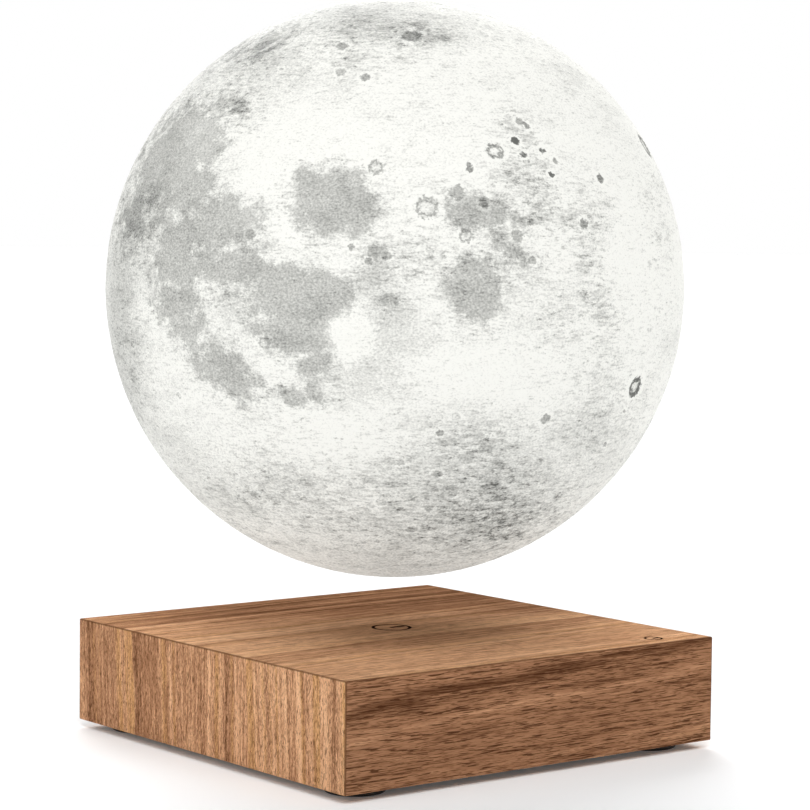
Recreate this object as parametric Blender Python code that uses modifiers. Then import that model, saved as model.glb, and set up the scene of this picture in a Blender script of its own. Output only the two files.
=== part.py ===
"""Levitating moon lamp: a hollow printed moon that floats over a square walnut base.

Units are metres, +Z is up, and the origin is on the table under the middle of the base.
The front of the base, with the touch mark, faces -Y, and the power inlet faces +Y.
"""

import math

import bmesh
import bpy
from mathutils import Matrix, Vector

# Driving dimensions
MOON_DIAMETER = 0.180
BASE_SIDE = 0.142
BASE_HEIGHT = 0.0324
LEVITATION_GAP = 0.0164
FOOT_HEIGHT = 0.0025

# Clearances, and how far a cutter reaches past what it cuts
SEAT_GAP = 0.0003
RIM_GAP = 0.0005
OVERRUN = 0.001

# Heights that the whole lamp shares
BASE_TOP = FOOT_HEIGHT + BASE_HEIGHT
MOON_BOTTOM = BASE_TOP + LEVITATION_GAP
MOON_RADIUS = MOON_DIAMETER / 2

# Segments round a turned piece, and the angle above which an edge stays sharp
FINE_SEGMENTS = 36
ROUND_SEGMENTS = 28
SMALL_SEGMENTS = 12
SHARP_ANGLE = math.radians(35)


# Scene and collections

def clear_scene():
    for piece in list(bpy.data.objects):
        bpy.data.objects.remove(piece, do_unlink=True)


def new_collection(name):
    collection = bpy.data.collections.new(name)
    bpy.context.scene.collection.children.link(collection)
    return collection


clear_scene()
LAMP = new_collection("moon_lamp")
CUTTERS = new_collection("cutters")


# Materials

def new_material(name, colour, roughness, metallic=0.0):
    material = bpy.data.materials.new(name)
    material.use_nodes = True
    shader = material.node_tree.nodes["Principled BSDF"]
    shader.inputs["Base Color"].default_value = (*colour, 1.0)
    shader.inputs["Roughness"].default_value = roughness
    shader.inputs["Metallic"].default_value = metallic
    material.diffuse_color = (*colour, 1.0)
    return material


WALNUT = new_material("walnut", (0.30, 0.15, 0.08), 0.55)
RUBBER = new_material("dark_rubber", (0.02, 0.015, 0.012), 0.8)
BLACK_PLASTIC = new_material("black_plastic", (0.03, 0.03, 0.03), 0.5)
WHITE_PLASTIC = new_material("white_plastic", (0.85, 0.85, 0.82), 0.5)
MOON_PLASTIC = new_material("printed_moon", (0.86, 0.85, 0.82), 0.7)
CIRCUIT_GREEN = new_material("circuit_green", (0.02, 0.16, 0.06), 0.4)
CIRCUIT_WHITE = new_material("circuit_white", (0.80, 0.80, 0.78), 0.4)
CHIP_BLACK = new_material("chip_black", (0.02, 0.02, 0.02), 0.4)
FERRITE = new_material("ferrite", (0.06, 0.06, 0.065), 0.6)
COPPER = new_material("copper", (0.75, 0.33, 0.16), 0.35, 0.9)
BRASS = new_material("brass", (0.75, 0.58, 0.25), 0.3, 1.0)
STEEL = new_material("steel", (0.55, 0.55, 0.56), 0.35, 1.0)
NICKEL = new_material("nickel_plate", (0.70, 0.69, 0.66), 0.2, 1.0)
CAPACITOR_BLUE = new_material("capacitor_blue", (0.03, 0.05, 0.20), 0.35)
RED_WIRE = new_material("red_wire", (0.55, 0.03, 0.02), 0.5)
BLACK_WIRE = new_material("black_wire", (0.02, 0.02, 0.02), 0.5)
LED_YELLOW = new_material("led_yellow", (0.85, 0.65, 0.12), 0.3)


# Mesh makers: each solid stands on the plane Z = 0, centred on the Z axis

def smooth_rounds(mesh):
    mesh.shade_smooth()
    mesh.set_sharp_from_angle(angle=SHARP_ANGLE)
    return mesh


def mesh_from(name, shape):
    mesh = bpy.data.meshes.new(name)
    shape.to_mesh(mesh)
    shape.free()
    return smooth_rounds(mesh)


def add_box(shape, size, centre=(0, 0), bottom=0, turn=0):
    """Add a box with its own turn about Z to a bmesh."""
    place = Matrix.Translation((centre[0], centre[1], bottom + size[2] / 2))
    place = place @ Matrix.Rotation(turn, 4, "Z") @ Matrix.Diagonal((*size, 1))
    bmesh.ops.create_cube(shape, size=1, matrix=place)


def add_cylinder(shape, radius, height, centre=(0, 0), bottom=0, segments=ROUND_SEGMENTS):
    place = Matrix.Translation((centre[0], centre[1], bottom + height / 2))
    bmesh.ops.create_cone(
        shape, cap_ends=True, cap_tris=False, segments=segments,
        radius1=radius, radius2=radius, depth=height, matrix=place)


def box_mesh(name, size):
    shape = bmesh.new()
    add_box(shape, size)
    return mesh_from(name, shape)


def cylinders_mesh(name, radius, height, centres, segments=SMALL_SEGMENTS):
    """Equal upright cylinders that stand on Z = 0 at the given centres."""
    shape = bmesh.new()
    for centre in centres:
        add_cylinder(shape, radius, height, centre, segments=segments)
    return mesh_from(name, shape)


def evaluated_mesh(guide, name):
    """Make a plain mesh of an object with its modifiers, and remove the object."""
    CUTTERS.objects.link(guide)
    bpy.context.view_layer.update()
    source = guide.evaluated_get(bpy.context.evaluated_depsgraph_get())
    mesh = bpy.data.meshes.new_from_object(source)
    mesh.name = name
    bpy.data.objects.remove(guide, do_unlink=True)
    return mesh


def turned_mesh(name, outline, segments=ROUND_SEGMENTS, closed=False):
    """Turn (radius, height) points about Z; they run down the outer side, top to bottom."""
    profile = bpy.data.meshes.new(name + "_profile")
    edges = [(index, index + 1) for index in range(len(outline) - 1)]
    if closed:
        edges.append((len(outline) - 1, 0))
    profile.from_pydata([(radius, 0, height) for radius, height in outline], edges, [])
    guide = bpy.data.objects.new(name + "_profile", profile)
    screw = guide.modifiers.new("turn", "SCREW")
    screw.axis = "Z"
    screw.angle = math.tau
    screw.steps = segments
    screw.render_steps = segments
    screw.use_merge_vertices = True
    screw.merge_threshold = 0.00001
    screw.use_normal_calculate = False
    mesh = evaluated_mesh(guide, name)
    return smooth_rounds(mesh)


def disc_mesh(name, radius, height, segments=ROUND_SEGMENTS):
    outline = [(0, height), (radius, height), (radius, 0), (0, 0)]
    return turned_mesh(name, outline, segments)


def ring_mesh(name, inner, outer, height, segments=ROUND_SEGMENTS):
    outline = [(outer, height), (outer, 0), (inner, 0), (inner, height)]
    return turned_mesh(name, outline, segments, closed=True)


def screw_outline(head_radius, head_height, shank_radius, shank_length):
    """A pan head over a plain shank, with the head's underside at Z = 0."""
    crown = head_height / 3
    return [
        (0, head_height), (head_radius - crown, head_height), (head_radius, head_height - crown),
        (head_radius, 0), (shank_radius, 0), (shank_radius, -shank_length), (0, -shank_length)]


# Objects, cuts and joins

def new_piece(name, mesh, material, location=(0, 0, 0), parent=None):
    """A node of the lamp; location is measured from its parent."""
    piece = bpy.data.objects.new(name, mesh)
    if not mesh.materials:
        mesh.materials.append(material)
    piece.location = location
    piece.parent = parent
    LAMP.objects.link(piece)
    return piece


def new_cutter(name, mesh, location=(0, 0, 0), parent=None):
    cutter = bpy.data.objects.new(name, mesh)
    cutter.location = location
    cutter.parent = parent
    cutter.hide_render = True
    cutter.display_type = "WIRE"
    CUTTERS.objects.link(cutter)
    return cutter


def combine(piece, tool, operation):
    boolean = piece.modifiers.new(tool.name, "BOOLEAN")
    boolean.operation = operation
    boolean.solver = "EXACT"
    boolean.object = tool


def cut(piece, cutter):
    combine(piece, cutter, "DIFFERENCE")


def join(piece, addition):
    combine(piece, addition, "UNION")


def new_screws(name, outline, places, turn=0, parent=None):
    """Equal screws with their heads' undersides at the given places, turned about X."""
    mesh = turned_mesh(name, outline, SMALL_SEGMENTS)
    for number, place in enumerate(places, start=1):
        screw = new_piece(f"{name}_{number}", mesh, STEEL, place, parent)
        screw.rotation_euler = (turn, 0, 0)


def new_wire(name, points, radius, material):
    """A wire through the given points, rounded off between them."""
    steps = 4
    path = [points[0]]
    for index in range(len(points) - 1):
        before = points[max(index - 1, 0)]
        start = points[index]
        end = points[index + 1]
        after = points[min(index + 2, len(points) - 1)]
        for step in range(1, steps + 1):
            share = step / steps
            bend = 2 * start + share * (end - before)
            bend += share ** 2 * (2 * before - 5 * start + 4 * end - after)
            bend += share ** 3 * (3 * start - before - 3 * end + after)
            path.append(bend / 2)
    curve = bpy.data.curves.new(name, "CURVE")
    curve.dimensions = "3D"
    curve.bevel_depth = radius
    curve.bevel_resolution = 1
    curve.render_resolution_u = 0
    curve.use_fill_caps = True
    spline = curve.splines.new("POLY")
    spline.points.add(len(path) - 1)
    for point, place in zip(spline.points, path):
        point.co = (*place, 1)
    curve.materials.append(material)
    wire = bpy.data.objects.new(name, curve)
    LAMP.objects.link(wire)
    return wire


def corners(reach_x, reach_y):
    """The four corners of a rectangle centred on the Z axis."""
    return [(-reach_x, -reach_y), (reach_x, -reach_y), (reach_x, reach_y), (-reach_x, reach_y)]


def at_height(places, height):
    return [(*place, height) for place in places]


def on_circle(radius, count, first=0):
    angles = [first + math.tau * index / count for index in range(count)]
    return [(radius * math.cos(angle), radius * math.sin(angle)) for angle in angles]


# Walnut block: milled hollow from below, with a post left in each corner

WOOD_WALL = 0.0045
WOOD_TOP = 0.005
WOOD_EDGE = 0.0005
CORNER_POST = 0.009

POCKET_REACH = BASE_SIDE / 2 - WOOD_WALL
POCKET_CEILING = BASE_TOP - WOOD_TOP
POST_PLACE = POCKET_REACH - CORNER_POST / 2

# Marks burned into the top: a ring in the middle and a smaller one over the touch sensor
MARK_DEPTH = 0.0003
CENTRE_RING_RADIUS = 0.0058
CENTRE_RING_LINE = 0.0008
CENTRE_BAR_LENGTH = 0.0044
TOUCH_RING_RADIUS = 0.0026
TOUCH_RING_LINE = 0.0005
TOUCH_BAR_LENGTH = 0.0024

# Touch pad, under its mark between a corner post and the front wall
TOUCH_PAD_RADIUS = 0.003
TOUCH_PAD_THICKNESS = 0.0008
TOUCH_POST_GAP = 0.0011
TOUCH_WALL_GAP = 0.0006

TOUCH_PLACE = (
    POCKET_REACH - CORNER_POST - TOUCH_POST_GAP - TOUCH_PAD_RADIUS,
    TOUCH_PAD_RADIUS + TOUCH_WALL_GAP - POCKET_REACH)

# Bottom cover, let into a rebate, with a boss under each corner of the module board
COVER_THICKNESS = 0.003
BOSS_RADIUS = 0.0035
BOSS_HEIGHT = 0.004

COVER_REACH = POCKET_REACH - SEAT_GAP
COVER_TOP = FOOT_HEIGHT + COVER_THICKNESS

# Cover screws, sunk so that the feet hide them
COVER_SCREW_HEAD = 0.0026
COVER_SCREW_HEAD_HEIGHT = 0.0016
COVER_SCREW_SHANK = 0.0013
COVER_SCREW_LENGTH = 0.012

COVER_SCREW_SEAT = FOOT_HEIGHT + COVER_SCREW_HEAD_HEIGHT + SEAT_GAP

# Rubber feet
FOOT_RADIUS = 0.009
FOOT_INSET = 0.014
FOOT_CHAMFER = 0.0008

FOOT_PLACE = BASE_SIDE / 2 - FOOT_INSET
FOOT_NAMES = ("foot_front_left", "foot_front_right", "foot_back_right", "foot_back_left")

# Levitation module: the board stands on the bosses, clear of the walls, and carries the rest
BOARD_SIDE_GAP = 0.0075
BOARD_END_GAP = 0.0165
BOARD_THICKNESS = 0.0016
BOARD_HOLE_INSET = 0.004
MODULE_SCREW_HEAD = 0.0022
MODULE_SCREW_HEAD_HEIGHT = 0.0013
MODULE_SCREW_SHANK = 0.0010
MODULE_SCREW_LENGTH = 0.0045

BOARD_REACH_X = POCKET_REACH - BOARD_SIDE_GAP
BOARD_REACH_Y = POCKET_REACH - BOARD_END_GAP
BOARD_BOTTOM = COVER_TOP + BOSS_HEIGHT + SEAT_GAP
BOARD_TOP = BOARD_BOTTOM + BOARD_THICKNESS
BOARD_HOLES = corners(BOARD_REACH_X - BOARD_HOLE_INSET, BOARD_REACH_Y - BOARD_HOLE_INSET)
PART_SEAT = BOARD_TOP + SEAT_GAP

# Power inlet, a round socket behind a hole in the back wall
INLET_HOLE_RADIUS = 0.0055
INLET_WIDTH = 0.013
INLET_HEIGHT = 0.011
INLET_DEPTH = 0.0115
INLET_FLANGE_WIDTH = 0.027
INLET_FLANGE_DEPTH = 0.002
SOCKET_RADIUS = 0.0031
SOCKET_DEPTH = 0.0095
PIN_RADIUS = 0.00105
PIN_RECESS = 0.0008
TAIL_LENGTH = 0.0025
CONTACT_WIDTH = 0.002
CONTACT_THICKNESS = 0.0006
CONTACT_DROP = 0.0035
INLET_SCREW_HEAD = 0.0019
INLET_SCREW_HEAD_HEIGHT = 0.0011
INLET_SCREW_SHANK = 0.0008
INLET_SCREW_LENGTH = 0.0045

INLET_FACE = POCKET_REACH - SEAT_GAP
INLET_REAR = INLET_FACE - INLET_DEPTH
INLET_TAIL = INLET_REAR - SEAT_GAP - TAIL_LENGTH
INLET_MIDDLE = FOOT_HEIGHT + BASE_HEIGHT / 2
INLET_SCREW_PLACE = (INLET_WIDTH + INLET_FLANGE_WIDTH) / 4


def facing_back(piece, height):
    """Turn a piece so that its own +Z points to the back of the lamp, +Y."""
    piece.rotation_euler = (-math.pi / 2, 0, 0)
    piece.location.z = height
    return piece


def build_wood_body():
    shape = bmesh.new()
    add_box(shape, (BASE_SIDE, BASE_SIDE, BASE_HEIGHT))
    bmesh.ops.bevel(
        shape, geom=shape.edges[:], offset=WOOD_EDGE, offset_type="OFFSET",
        segments=1, profile=0.5, affect="EDGES", material=-1)
    wood = new_piece("wood_body", mesh_from("wood_body", shape), WALNUT, (0, 0, FOOT_HEIGHT))

    depth = POCKET_CEILING - FOOT_HEIGHT + OVERRUN
    low = FOOT_HEIGHT - OVERRUN
    wide = 2 * POCKET_REACH
    narrow = wide - 2 * CORNER_POST
    rebate = COVER_THICKNESS + SEAT_GAP + OVERRUN
    pockets = (
        ("pocket_along_x", (wide, narrow, depth)),
        ("pocket_along_y", (narrow, wide, depth)),
        ("cover_rebate", (wide, wide, rebate)))
    for name, size in pockets:
        cut(wood, new_cutter(name, box_mesh(name, size), (0, 0, low)))

    pilots = cylinders_mesh(
        "cover_pilots", COVER_SCREW_SHANK + SEAT_GAP, COVER_SCREW_LENGTH, corners(POST_PLACE, POST_PLACE))
    cut(wood, new_cutter("cover_pilots", pilots, (0, 0, COVER_SCREW_SEAT + SEAT_GAP)))

    hole = disc_mesh("inlet_hole", INLET_HOLE_RADIUS, WOOD_WALL + 2 * OVERRUN)
    hole = new_cutter("inlet_hole", hole, (0, POCKET_REACH - OVERRUN, 0))
    cut(wood, facing_back(hole, INLET_MIDDLE))
    drill = INLET_SCREW_LENGTH - INLET_FLANGE_DEPTH + SEAT_GAP + OVERRUN
    pilots = cylinders_mesh(
        "inlet_pilots", INLET_SCREW_SHANK + SEAT_GAP, drill,
        [(-INLET_SCREW_PLACE, 0), (INLET_SCREW_PLACE, 0)])
    pilots = new_cutter("inlet_pilots", pilots, (0, POCKET_REACH - OVERRUN, 0))
    cut(wood, facing_back(pilots, INLET_MIDDLE))

    cut_mark(wood, "centre_mark", (0, 0), CENTRE_RING_RADIUS, CENTRE_RING_LINE, CENTRE_BAR_LENGTH)
    cut_mark(wood, "touch_mark", TOUCH_PLACE, TOUCH_RING_RADIUS, TOUCH_RING_LINE, TOUCH_BAR_LENGTH)


def cut_mark(wood, name, place, radius, line, bar_length):
    """Cut a ring and a bar that runs from its middle towards the right end."""
    height = MARK_DEPTH + OVERRUN
    floor = BASE_TOP - MARK_DEPTH
    ring = ring_mesh(name + "_ring", radius - line / 2, radius + line / 2, height)
    cut(wood, new_cutter(name + "_ring", ring, (*place, floor)))
    bar = box_mesh(name + "_bar", (bar_length, line, height))
    middle = (place[0] + bar_length / 2, place[1], floor)
    cut(wood, new_cutter(name + "_bar", bar, middle))


def build_bottom_cover():
    size = (2 * COVER_REACH, 2 * COVER_REACH, COVER_THICKNESS)
    cover = new_piece("bottom_cover", box_mesh("bottom_cover", size), BLACK_PLASTIC, (0, 0, FOOT_HEIGHT))

    root = COVER_TOP - COVER_THICKNESS / 2
    rise = COVER_TOP + BOSS_HEIGHT - root
    bosses = cylinders_mesh("cover_bosses", BOSS_RADIUS, rise, BOARD_HOLES)
    join(cover, new_cutter("cover_bosses", bosses, (0, 0, root)))

    reach = MODULE_SCREW_LENGTH - BOARD_THICKNESS + SEAT_GAP
    pilots = cylinders_mesh(
        "boss_pilots", MODULE_SCREW_SHANK + SEAT_GAP, reach + OVERRUN, BOARD_HOLES)
    cut(cover, new_cutter("boss_pilots", pilots, (0, 0, COVER_TOP + BOSS_HEIGHT - reach)))

    places = corners(POST_PLACE, POST_PLACE)
    sinks = cylinders_mesh(
        "head_sinks", COVER_SCREW_HEAD + SEAT_GAP, COVER_SCREW_HEAD_HEIGHT + SEAT_GAP + OVERRUN, places)
    cut(cover, new_cutter("head_sinks", sinks, (0, 0, FOOT_HEIGHT - OVERRUN)))
    holes = cylinders_mesh(
        "shank_holes", COVER_SCREW_SHANK + SEAT_GAP, COVER_THICKNESS + 2 * OVERRUN, places)
    cut(cover, new_cutter("shank_holes", holes, (0, 0, FOOT_HEIGHT - OVERRUN)))


def build_cover_screws():
    """The screws point up, so they are turned over."""
    outline = screw_outline(
        COVER_SCREW_HEAD, COVER_SCREW_HEAD_HEIGHT, COVER_SCREW_SHANK, COVER_SCREW_LENGTH)
    places = at_height(corners(POST_PLACE, POST_PLACE), COVER_SCREW_SEAT - SEAT_GAP)
    new_screws("cover_screw", outline, places, turn=math.pi)


def build_feet():
    top = FOOT_HEIGHT - SEAT_GAP
    outline = [
        (0, top), (FOOT_RADIUS, top), (FOOT_RADIUS, FOOT_CHAMFER),
        (FOOT_RADIUS - FOOT_CHAMFER, 0), (0, 0)]
    mesh = turned_mesh("foot", outline)
    for name, place in zip(FOOT_NAMES, corners(FOOT_PLACE, FOOT_PLACE)):
        new_piece(name, mesh, RUBBER, (*place, 0))


def build_base():
    build_wood_body()
    build_bottom_cover()
    build_cover_screws()
    build_feet()


# Magnets and coils of the levitation module

YOKE_THICKNESS = 0.002
RING_MAGNET_MARGIN = 0.005
RING_BORE_SHARE = 0.622
TOP_PLATE_THICKNESS = 0.001
POWER_COIL_THICKNESS = 0.0016
POWER_COIL_MARGIN = 0.001
POWER_SHEET_THICKNESS = 0.0008
CORE_SHARE = 0.316
BOBBIN_WALL = 0.001
WINDING_MARGIN = 0.0006
HALL_BOARD_WIDTH = 0.007
HALL_BOARD_THICKNESS = 0.001
HALL_BOARD_DROP = 0.002
HALL_SENSOR_WIDTH = 0.004
HALL_SENSOR_HEIGHT = 0.003
HALL_SENSOR_THICKNESS = 0.0015

RING_MAGNET_RADIUS = BOARD_REACH_Y - RING_MAGNET_MARGIN
RING_MAGNET_BORE = RING_BORE_SHARE * RING_MAGNET_RADIUS
YOKE_TOP = PART_SEAT + YOKE_THICKNESS
STACK_SEAT = YOKE_TOP + SEAT_GAP
TOP_PLATE_BOTTOM = POCKET_CEILING - SEAT_GAP - TOP_PLATE_THICKNESS
POWER_COIL_BOTTOM = TOP_PLATE_BOTTOM - SEAT_GAP - POWER_COIL_THICKNESS
POWER_SHEET_BOTTOM = POWER_COIL_BOTTOM - SEAT_GAP - POWER_SHEET_THICKNESS
RING_MAGNET_HEIGHT = POWER_SHEET_BOTTOM - SEAT_GAP - STACK_SEAT
COIL_HEIGHT = TOP_PLATE_BOTTOM - SEAT_GAP - STACK_SEAT

# Four equal bobbins fill the magnet's bore, each beside two others
BOBBIN_ROOM = (RING_MAGNET_BORE - RIM_GAP) / (1 + math.sqrt(2))
BOBBIN_PLACE = RING_MAGNET_BORE - RIM_GAP - BOBBIN_ROOM
BOBBIN_RADIUS = BOBBIN_ROOM - SEAT_GAP
CORE_RADIUS = CORE_SHARE * BOBBIN_RADIUS
POST_CIRCLE = on_circle(BOBBIN_PLACE, 4, math.pi / 4)


def build_module_board():
    size = (2 * BOARD_REACH_X, 2 * BOARD_REACH_Y, BOARD_THICKNESS)
    mesh = box_mesh("module_board", size)
    board = new_piece("module_board", mesh, CIRCUIT_GREEN, (0, 0, BOARD_BOTTOM))
    holes = cylinders_mesh(
        "board_holes", MODULE_SCREW_SHANK + SEAT_GAP, BOARD_THICKNESS + 2 * OVERRUN, BOARD_HOLES)
    cut(board, new_cutter("board_holes", holes, (0, 0, BOARD_BOTTOM - OVERRUN)))
    outline = screw_outline(
        MODULE_SCREW_HEAD, MODULE_SCREW_HEAD_HEIGHT, MODULE_SCREW_SHANK, MODULE_SCREW_LENGTH)
    new_screws("module_screw", outline, at_height(BOARD_HOLES, PART_SEAT))


def build_magnets():
    """The ring magnet lies on a steel yoke, whose four posts are the cores of the electromagnets."""
    yoke = disc_mesh("pole_yoke", RING_MAGNET_RADIUS, YOKE_THICKNESS, FINE_SEGMENTS)
    yoke = new_piece("pole_yoke", yoke, STEEL, (0, 0, PART_SEAT))
    root = YOKE_TOP - YOKE_THICKNESS / 2
    posts = cylinders_mesh("pole_posts", CORE_RADIUS, STACK_SEAT + COIL_HEIGHT - root, POST_CIRCLE)
    join(yoke, new_cutter("pole_posts", posts, (0, 0, root)))
    magnet = ring_mesh(
        "ring_magnet", RING_MAGNET_BORE, RING_MAGNET_RADIUS, RING_MAGNET_HEIGHT, FINE_SEGMENTS)
    new_piece("ring_magnet", magnet, FERRITE, (0, 0, STACK_SEAT))
    sheet = ring_mesh(
        "power_coil_sheet", RING_MAGNET_BORE + RIM_GAP, RING_MAGNET_RADIUS, POWER_SHEET_THICKNESS,
        FINE_SEGMENTS)
    new_piece("power_coil_sheet", sheet, FERRITE, (0, 0, POWER_SHEET_BOTTOM))
    coil = ring_mesh(
        "power_coil", RING_MAGNET_BORE + POWER_COIL_MARGIN, RING_MAGNET_RADIUS - POWER_COIL_MARGIN,
        POWER_COIL_THICKNESS, FINE_SEGMENTS)
    new_piece("power_coil", coil, COPPER, (0, 0, POWER_COIL_BOTTOM))
    plate = disc_mesh("module_top_plate", RING_MAGNET_RADIUS, TOP_PLATE_THICKNESS, FINE_SEGMENTS)
    new_piece("module_top_plate", plate, BLACK_PLASTIC, (0, 0, TOP_PLATE_BOTTOM))


def build_electromagnets():
    """A plastic bobbin with a copper winding slips over each post of the yoke."""
    bore = CORE_RADIUS + SEAT_GAP
    hub = bore + BOBBIN_WALL
    top = COIL_HEIGHT
    outline = [
        (BOBBIN_RADIUS, top), (BOBBIN_RADIUS, top - BOBBIN_WALL), (hub, top - BOBBIN_WALL),
        (hub, BOBBIN_WALL), (BOBBIN_RADIUS, BOBBIN_WALL), (BOBBIN_RADIUS, 0), (bore, 0), (bore, top)]
    bobbin = turned_mesh("coil_bobbin", outline, SMALL_SEGMENTS, closed=True)
    lift = BOBBIN_WALL + SEAT_GAP
    winding = ring_mesh(
        "coil_winding", hub + SEAT_GAP, BOBBIN_RADIUS - WINDING_MARGIN, top - 2 * lift, SMALL_SEGMENTS)
    for number, place in enumerate(POST_CIRCLE, start=1):
        new_piece(f"coil_bobbin_{number}", bobbin, WHITE_PLASTIC, (*place, STACK_SEAT))
        new_piece(f"coil_winding_{number}", winding, COPPER, (*place, STACK_SEAT + lift))


def build_hall_sensor():
    """A small board stands between the coils, with the sensor near its top."""
    height = COIL_HEIGHT - HALL_BOARD_DROP
    mesh = box_mesh("hall_board", (HALL_BOARD_WIDTH, HALL_BOARD_THICKNESS, height))
    new_piece("hall_board", mesh, CIRCUIT_GREEN, (0, 0, STACK_SEAT))
    offset = (HALL_BOARD_THICKNESS + HALL_SENSOR_THICKNESS) / 2 + SEAT_GAP
    size = (HALL_SENSOR_WIDTH, HALL_SENSOR_THICKNESS, HALL_SENSOR_HEIGHT)
    top = STACK_SEAT + height
    mesh = box_mesh("hall_sensor", size)
    new_piece("hall_sensor", mesh, CHIP_BLACK, (0, -offset, top - HALL_SENSOR_HEIGHT))


# Parts on the module board, in the corners that the ring magnet leaves free

CAPACITOR_RADIUS = 0.004
CAPACITOR_HEIGHT = 0.012
CHOKE_SIZE = (0.011, 0.011, 0.006)
CONTROLLER_SIZE = (0.007, 0.007, 0.0012)
CONNECTOR_SIZE = (0.008, 0.006, 0.004)

# How far out each part stands on the way from the ring magnet's edge to the board's corner
CORNER_WAY_SHARE = 0.4

BOARD_DIAGONAL = math.hypot(BOARD_REACH_X, BOARD_REACH_Y)
PART_DISTANCE = RING_MAGNET_RADIUS + CORNER_WAY_SHARE * (BOARD_DIAGONAL - RING_MAGNET_RADIUS)
CHIP_PLACE, CAPACITOR_PLACE, CONNECTOR_PLACE, CHOKE_PLACE = corners(
    PART_DISTANCE * BOARD_REACH_X / BOARD_DIAGONAL, PART_DISTANCE * BOARD_REACH_Y / BOARD_DIAGONAL)
CONNECTOR_TOP = PART_SEAT + CONNECTOR_SIZE[2]


def build_board_parts():
    mesh = box_mesh("controller_chip", CONTROLLER_SIZE)
    new_piece("controller_chip", mesh, CHIP_BLACK, (*CHIP_PLACE, PART_SEAT))
    mesh = disc_mesh("filter_capacitor", CAPACITOR_RADIUS, CAPACITOR_HEIGHT, SMALL_SEGMENTS)
    new_piece("filter_capacitor", mesh, CAPACITOR_BLUE, (*CAPACITOR_PLACE, PART_SEAT))
    mesh = box_mesh("power_connector", CONNECTOR_SIZE)
    new_piece("power_connector", mesh, WHITE_PLASTIC, (*CONNECTOR_PLACE, PART_SEAT))
    new_piece("module_choke", box_mesh("module_choke", CHOKE_SIZE), FERRITE, (*CHOKE_PLACE, PART_SEAT))


def build_module():
    build_module_board()
    build_magnets()
    build_electromagnets()
    build_hall_sensor()
    build_board_parts()


# Power inlet and its leads

LEAD_RADIUS = 0.0007
LEAD_SPACING = 0.0024
LEAD_BEND = 0.003


def build_inlet():
    size = (INLET_WIDTH, INLET_HEIGHT, INLET_DEPTH)
    body = new_piece("inlet_body", box_mesh("inlet_body", size), BLACK_PLASTIC, (0, INLET_REAR, 0))
    facing_back(body, INLET_MIDDLE)
    size = (INLET_FLANGE_WIDTH, INLET_HEIGHT, INLET_FLANGE_DEPTH)
    flange_rear = INLET_FACE - INLET_FLANGE_DEPTH
    flange = new_cutter("inlet_flange", box_mesh("inlet_flange", size), (0, flange_rear, 0))
    join(body, facing_back(flange, INLET_MIDDLE))

    socket = disc_mesh("inlet_socket", SOCKET_RADIUS, SOCKET_DEPTH + OVERRUN)
    socket = new_cutter("inlet_socket", socket, (0, INLET_FACE - SOCKET_DEPTH, 0))
    cut(body, facing_back(socket, INLET_MIDDLE))
    hole = disc_mesh("pin_hole", PIN_RADIUS + SEAT_GAP, INLET_DEPTH, SMALL_SEGMENTS)
    hole = new_cutter("pin_hole", hole, (0, INLET_REAR - OVERRUN, 0))
    cut(body, facing_back(hole, INLET_MIDDLE))
    places = [(-INLET_SCREW_PLACE, 0), (INLET_SCREW_PLACE, 0)]
    holes = cylinders_mesh(
        "flange_holes", INLET_SCREW_SHANK + SEAT_GAP, INLET_FLANGE_DEPTH + 2 * OVERRUN, places)
    holes = new_cutter("flange_holes", holes, (0, flange_rear - OVERRUN, 0))
    cut(body, facing_back(holes, INLET_MIDDLE))

    pin = disc_mesh("inlet_pin", PIN_RADIUS, INLET_FACE - PIN_RECESS - INLET_TAIL, SMALL_SEGMENTS)
    facing_back(new_piece("inlet_pin", pin, BRASS, (0, INLET_TAIL, 0)), INLET_MIDDLE)
    contact = box_mesh("inlet_contact", (CONTACT_WIDTH, CONTACT_THICKNESS, TAIL_LENGTH))
    contact = new_piece("inlet_contact", contact, BRASS, (0, INLET_TAIL, 0))
    facing_back(contact, INLET_MIDDLE - CONTACT_DROP)
    outline = screw_outline(
        INLET_SCREW_HEAD, INLET_SCREW_HEAD_HEIGHT, INLET_SCREW_SHANK, INLET_SCREW_LENGTH)
    places = [(side * INLET_SCREW_PLACE, flange_rear - SEAT_GAP, INLET_MIDDLE) for side in (-1, 1)]
    new_screws("inlet_screw", outline, places, turn=math.pi / 2)


def build_inlet_leads():
    """The pin's tail and the contact under it each have a lead to the board."""
    lane = (RING_MAGNET_RADIUS + INLET_TAIL) / 2
    place_x, place_y = CONNECTOR_PLACE
    leads = (
        ("lead_red", RED_WIRE, INLET_MIDDLE, place_x + LEAD_SPACING / 2),
        ("lead_black", BLACK_WIRE, INLET_MIDDLE - CONTACT_DROP, place_x - LEAD_SPACING / 2))
    for name, material, height, pin_x in leads:
        end = Vector((pin_x, place_y, CONNECTOR_TOP + SEAT_GAP))
        points = [
            Vector((0, INLET_TAIL - SEAT_GAP, height)),
            Vector((LEAD_BEND, lane, height)),
            Vector((pin_x - LEAD_BEND, lane, height)),
            end + Vector((0, LEAD_BEND, LEAD_BEND)),
            end]
        new_wire(name, points, LEAD_RADIUS, material)


# Touch sensor under the touch mark

TOUCH_BOARD_SIZE = (0.014, 0.008, 0.001)
TOUCH_LEAD_RADIUS = 0.0006
TOUCH_LEAD_GAP = 0.0025

TOUCH_PAD_BOTTOM = POCKET_CEILING - SEAT_GAP - TOUCH_PAD_THICKNESS
TOUCH_BOARD_BOTTOM = TOUCH_PAD_BOTTOM - SEAT_GAP - TOUCH_BOARD_SIZE[2]


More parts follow.
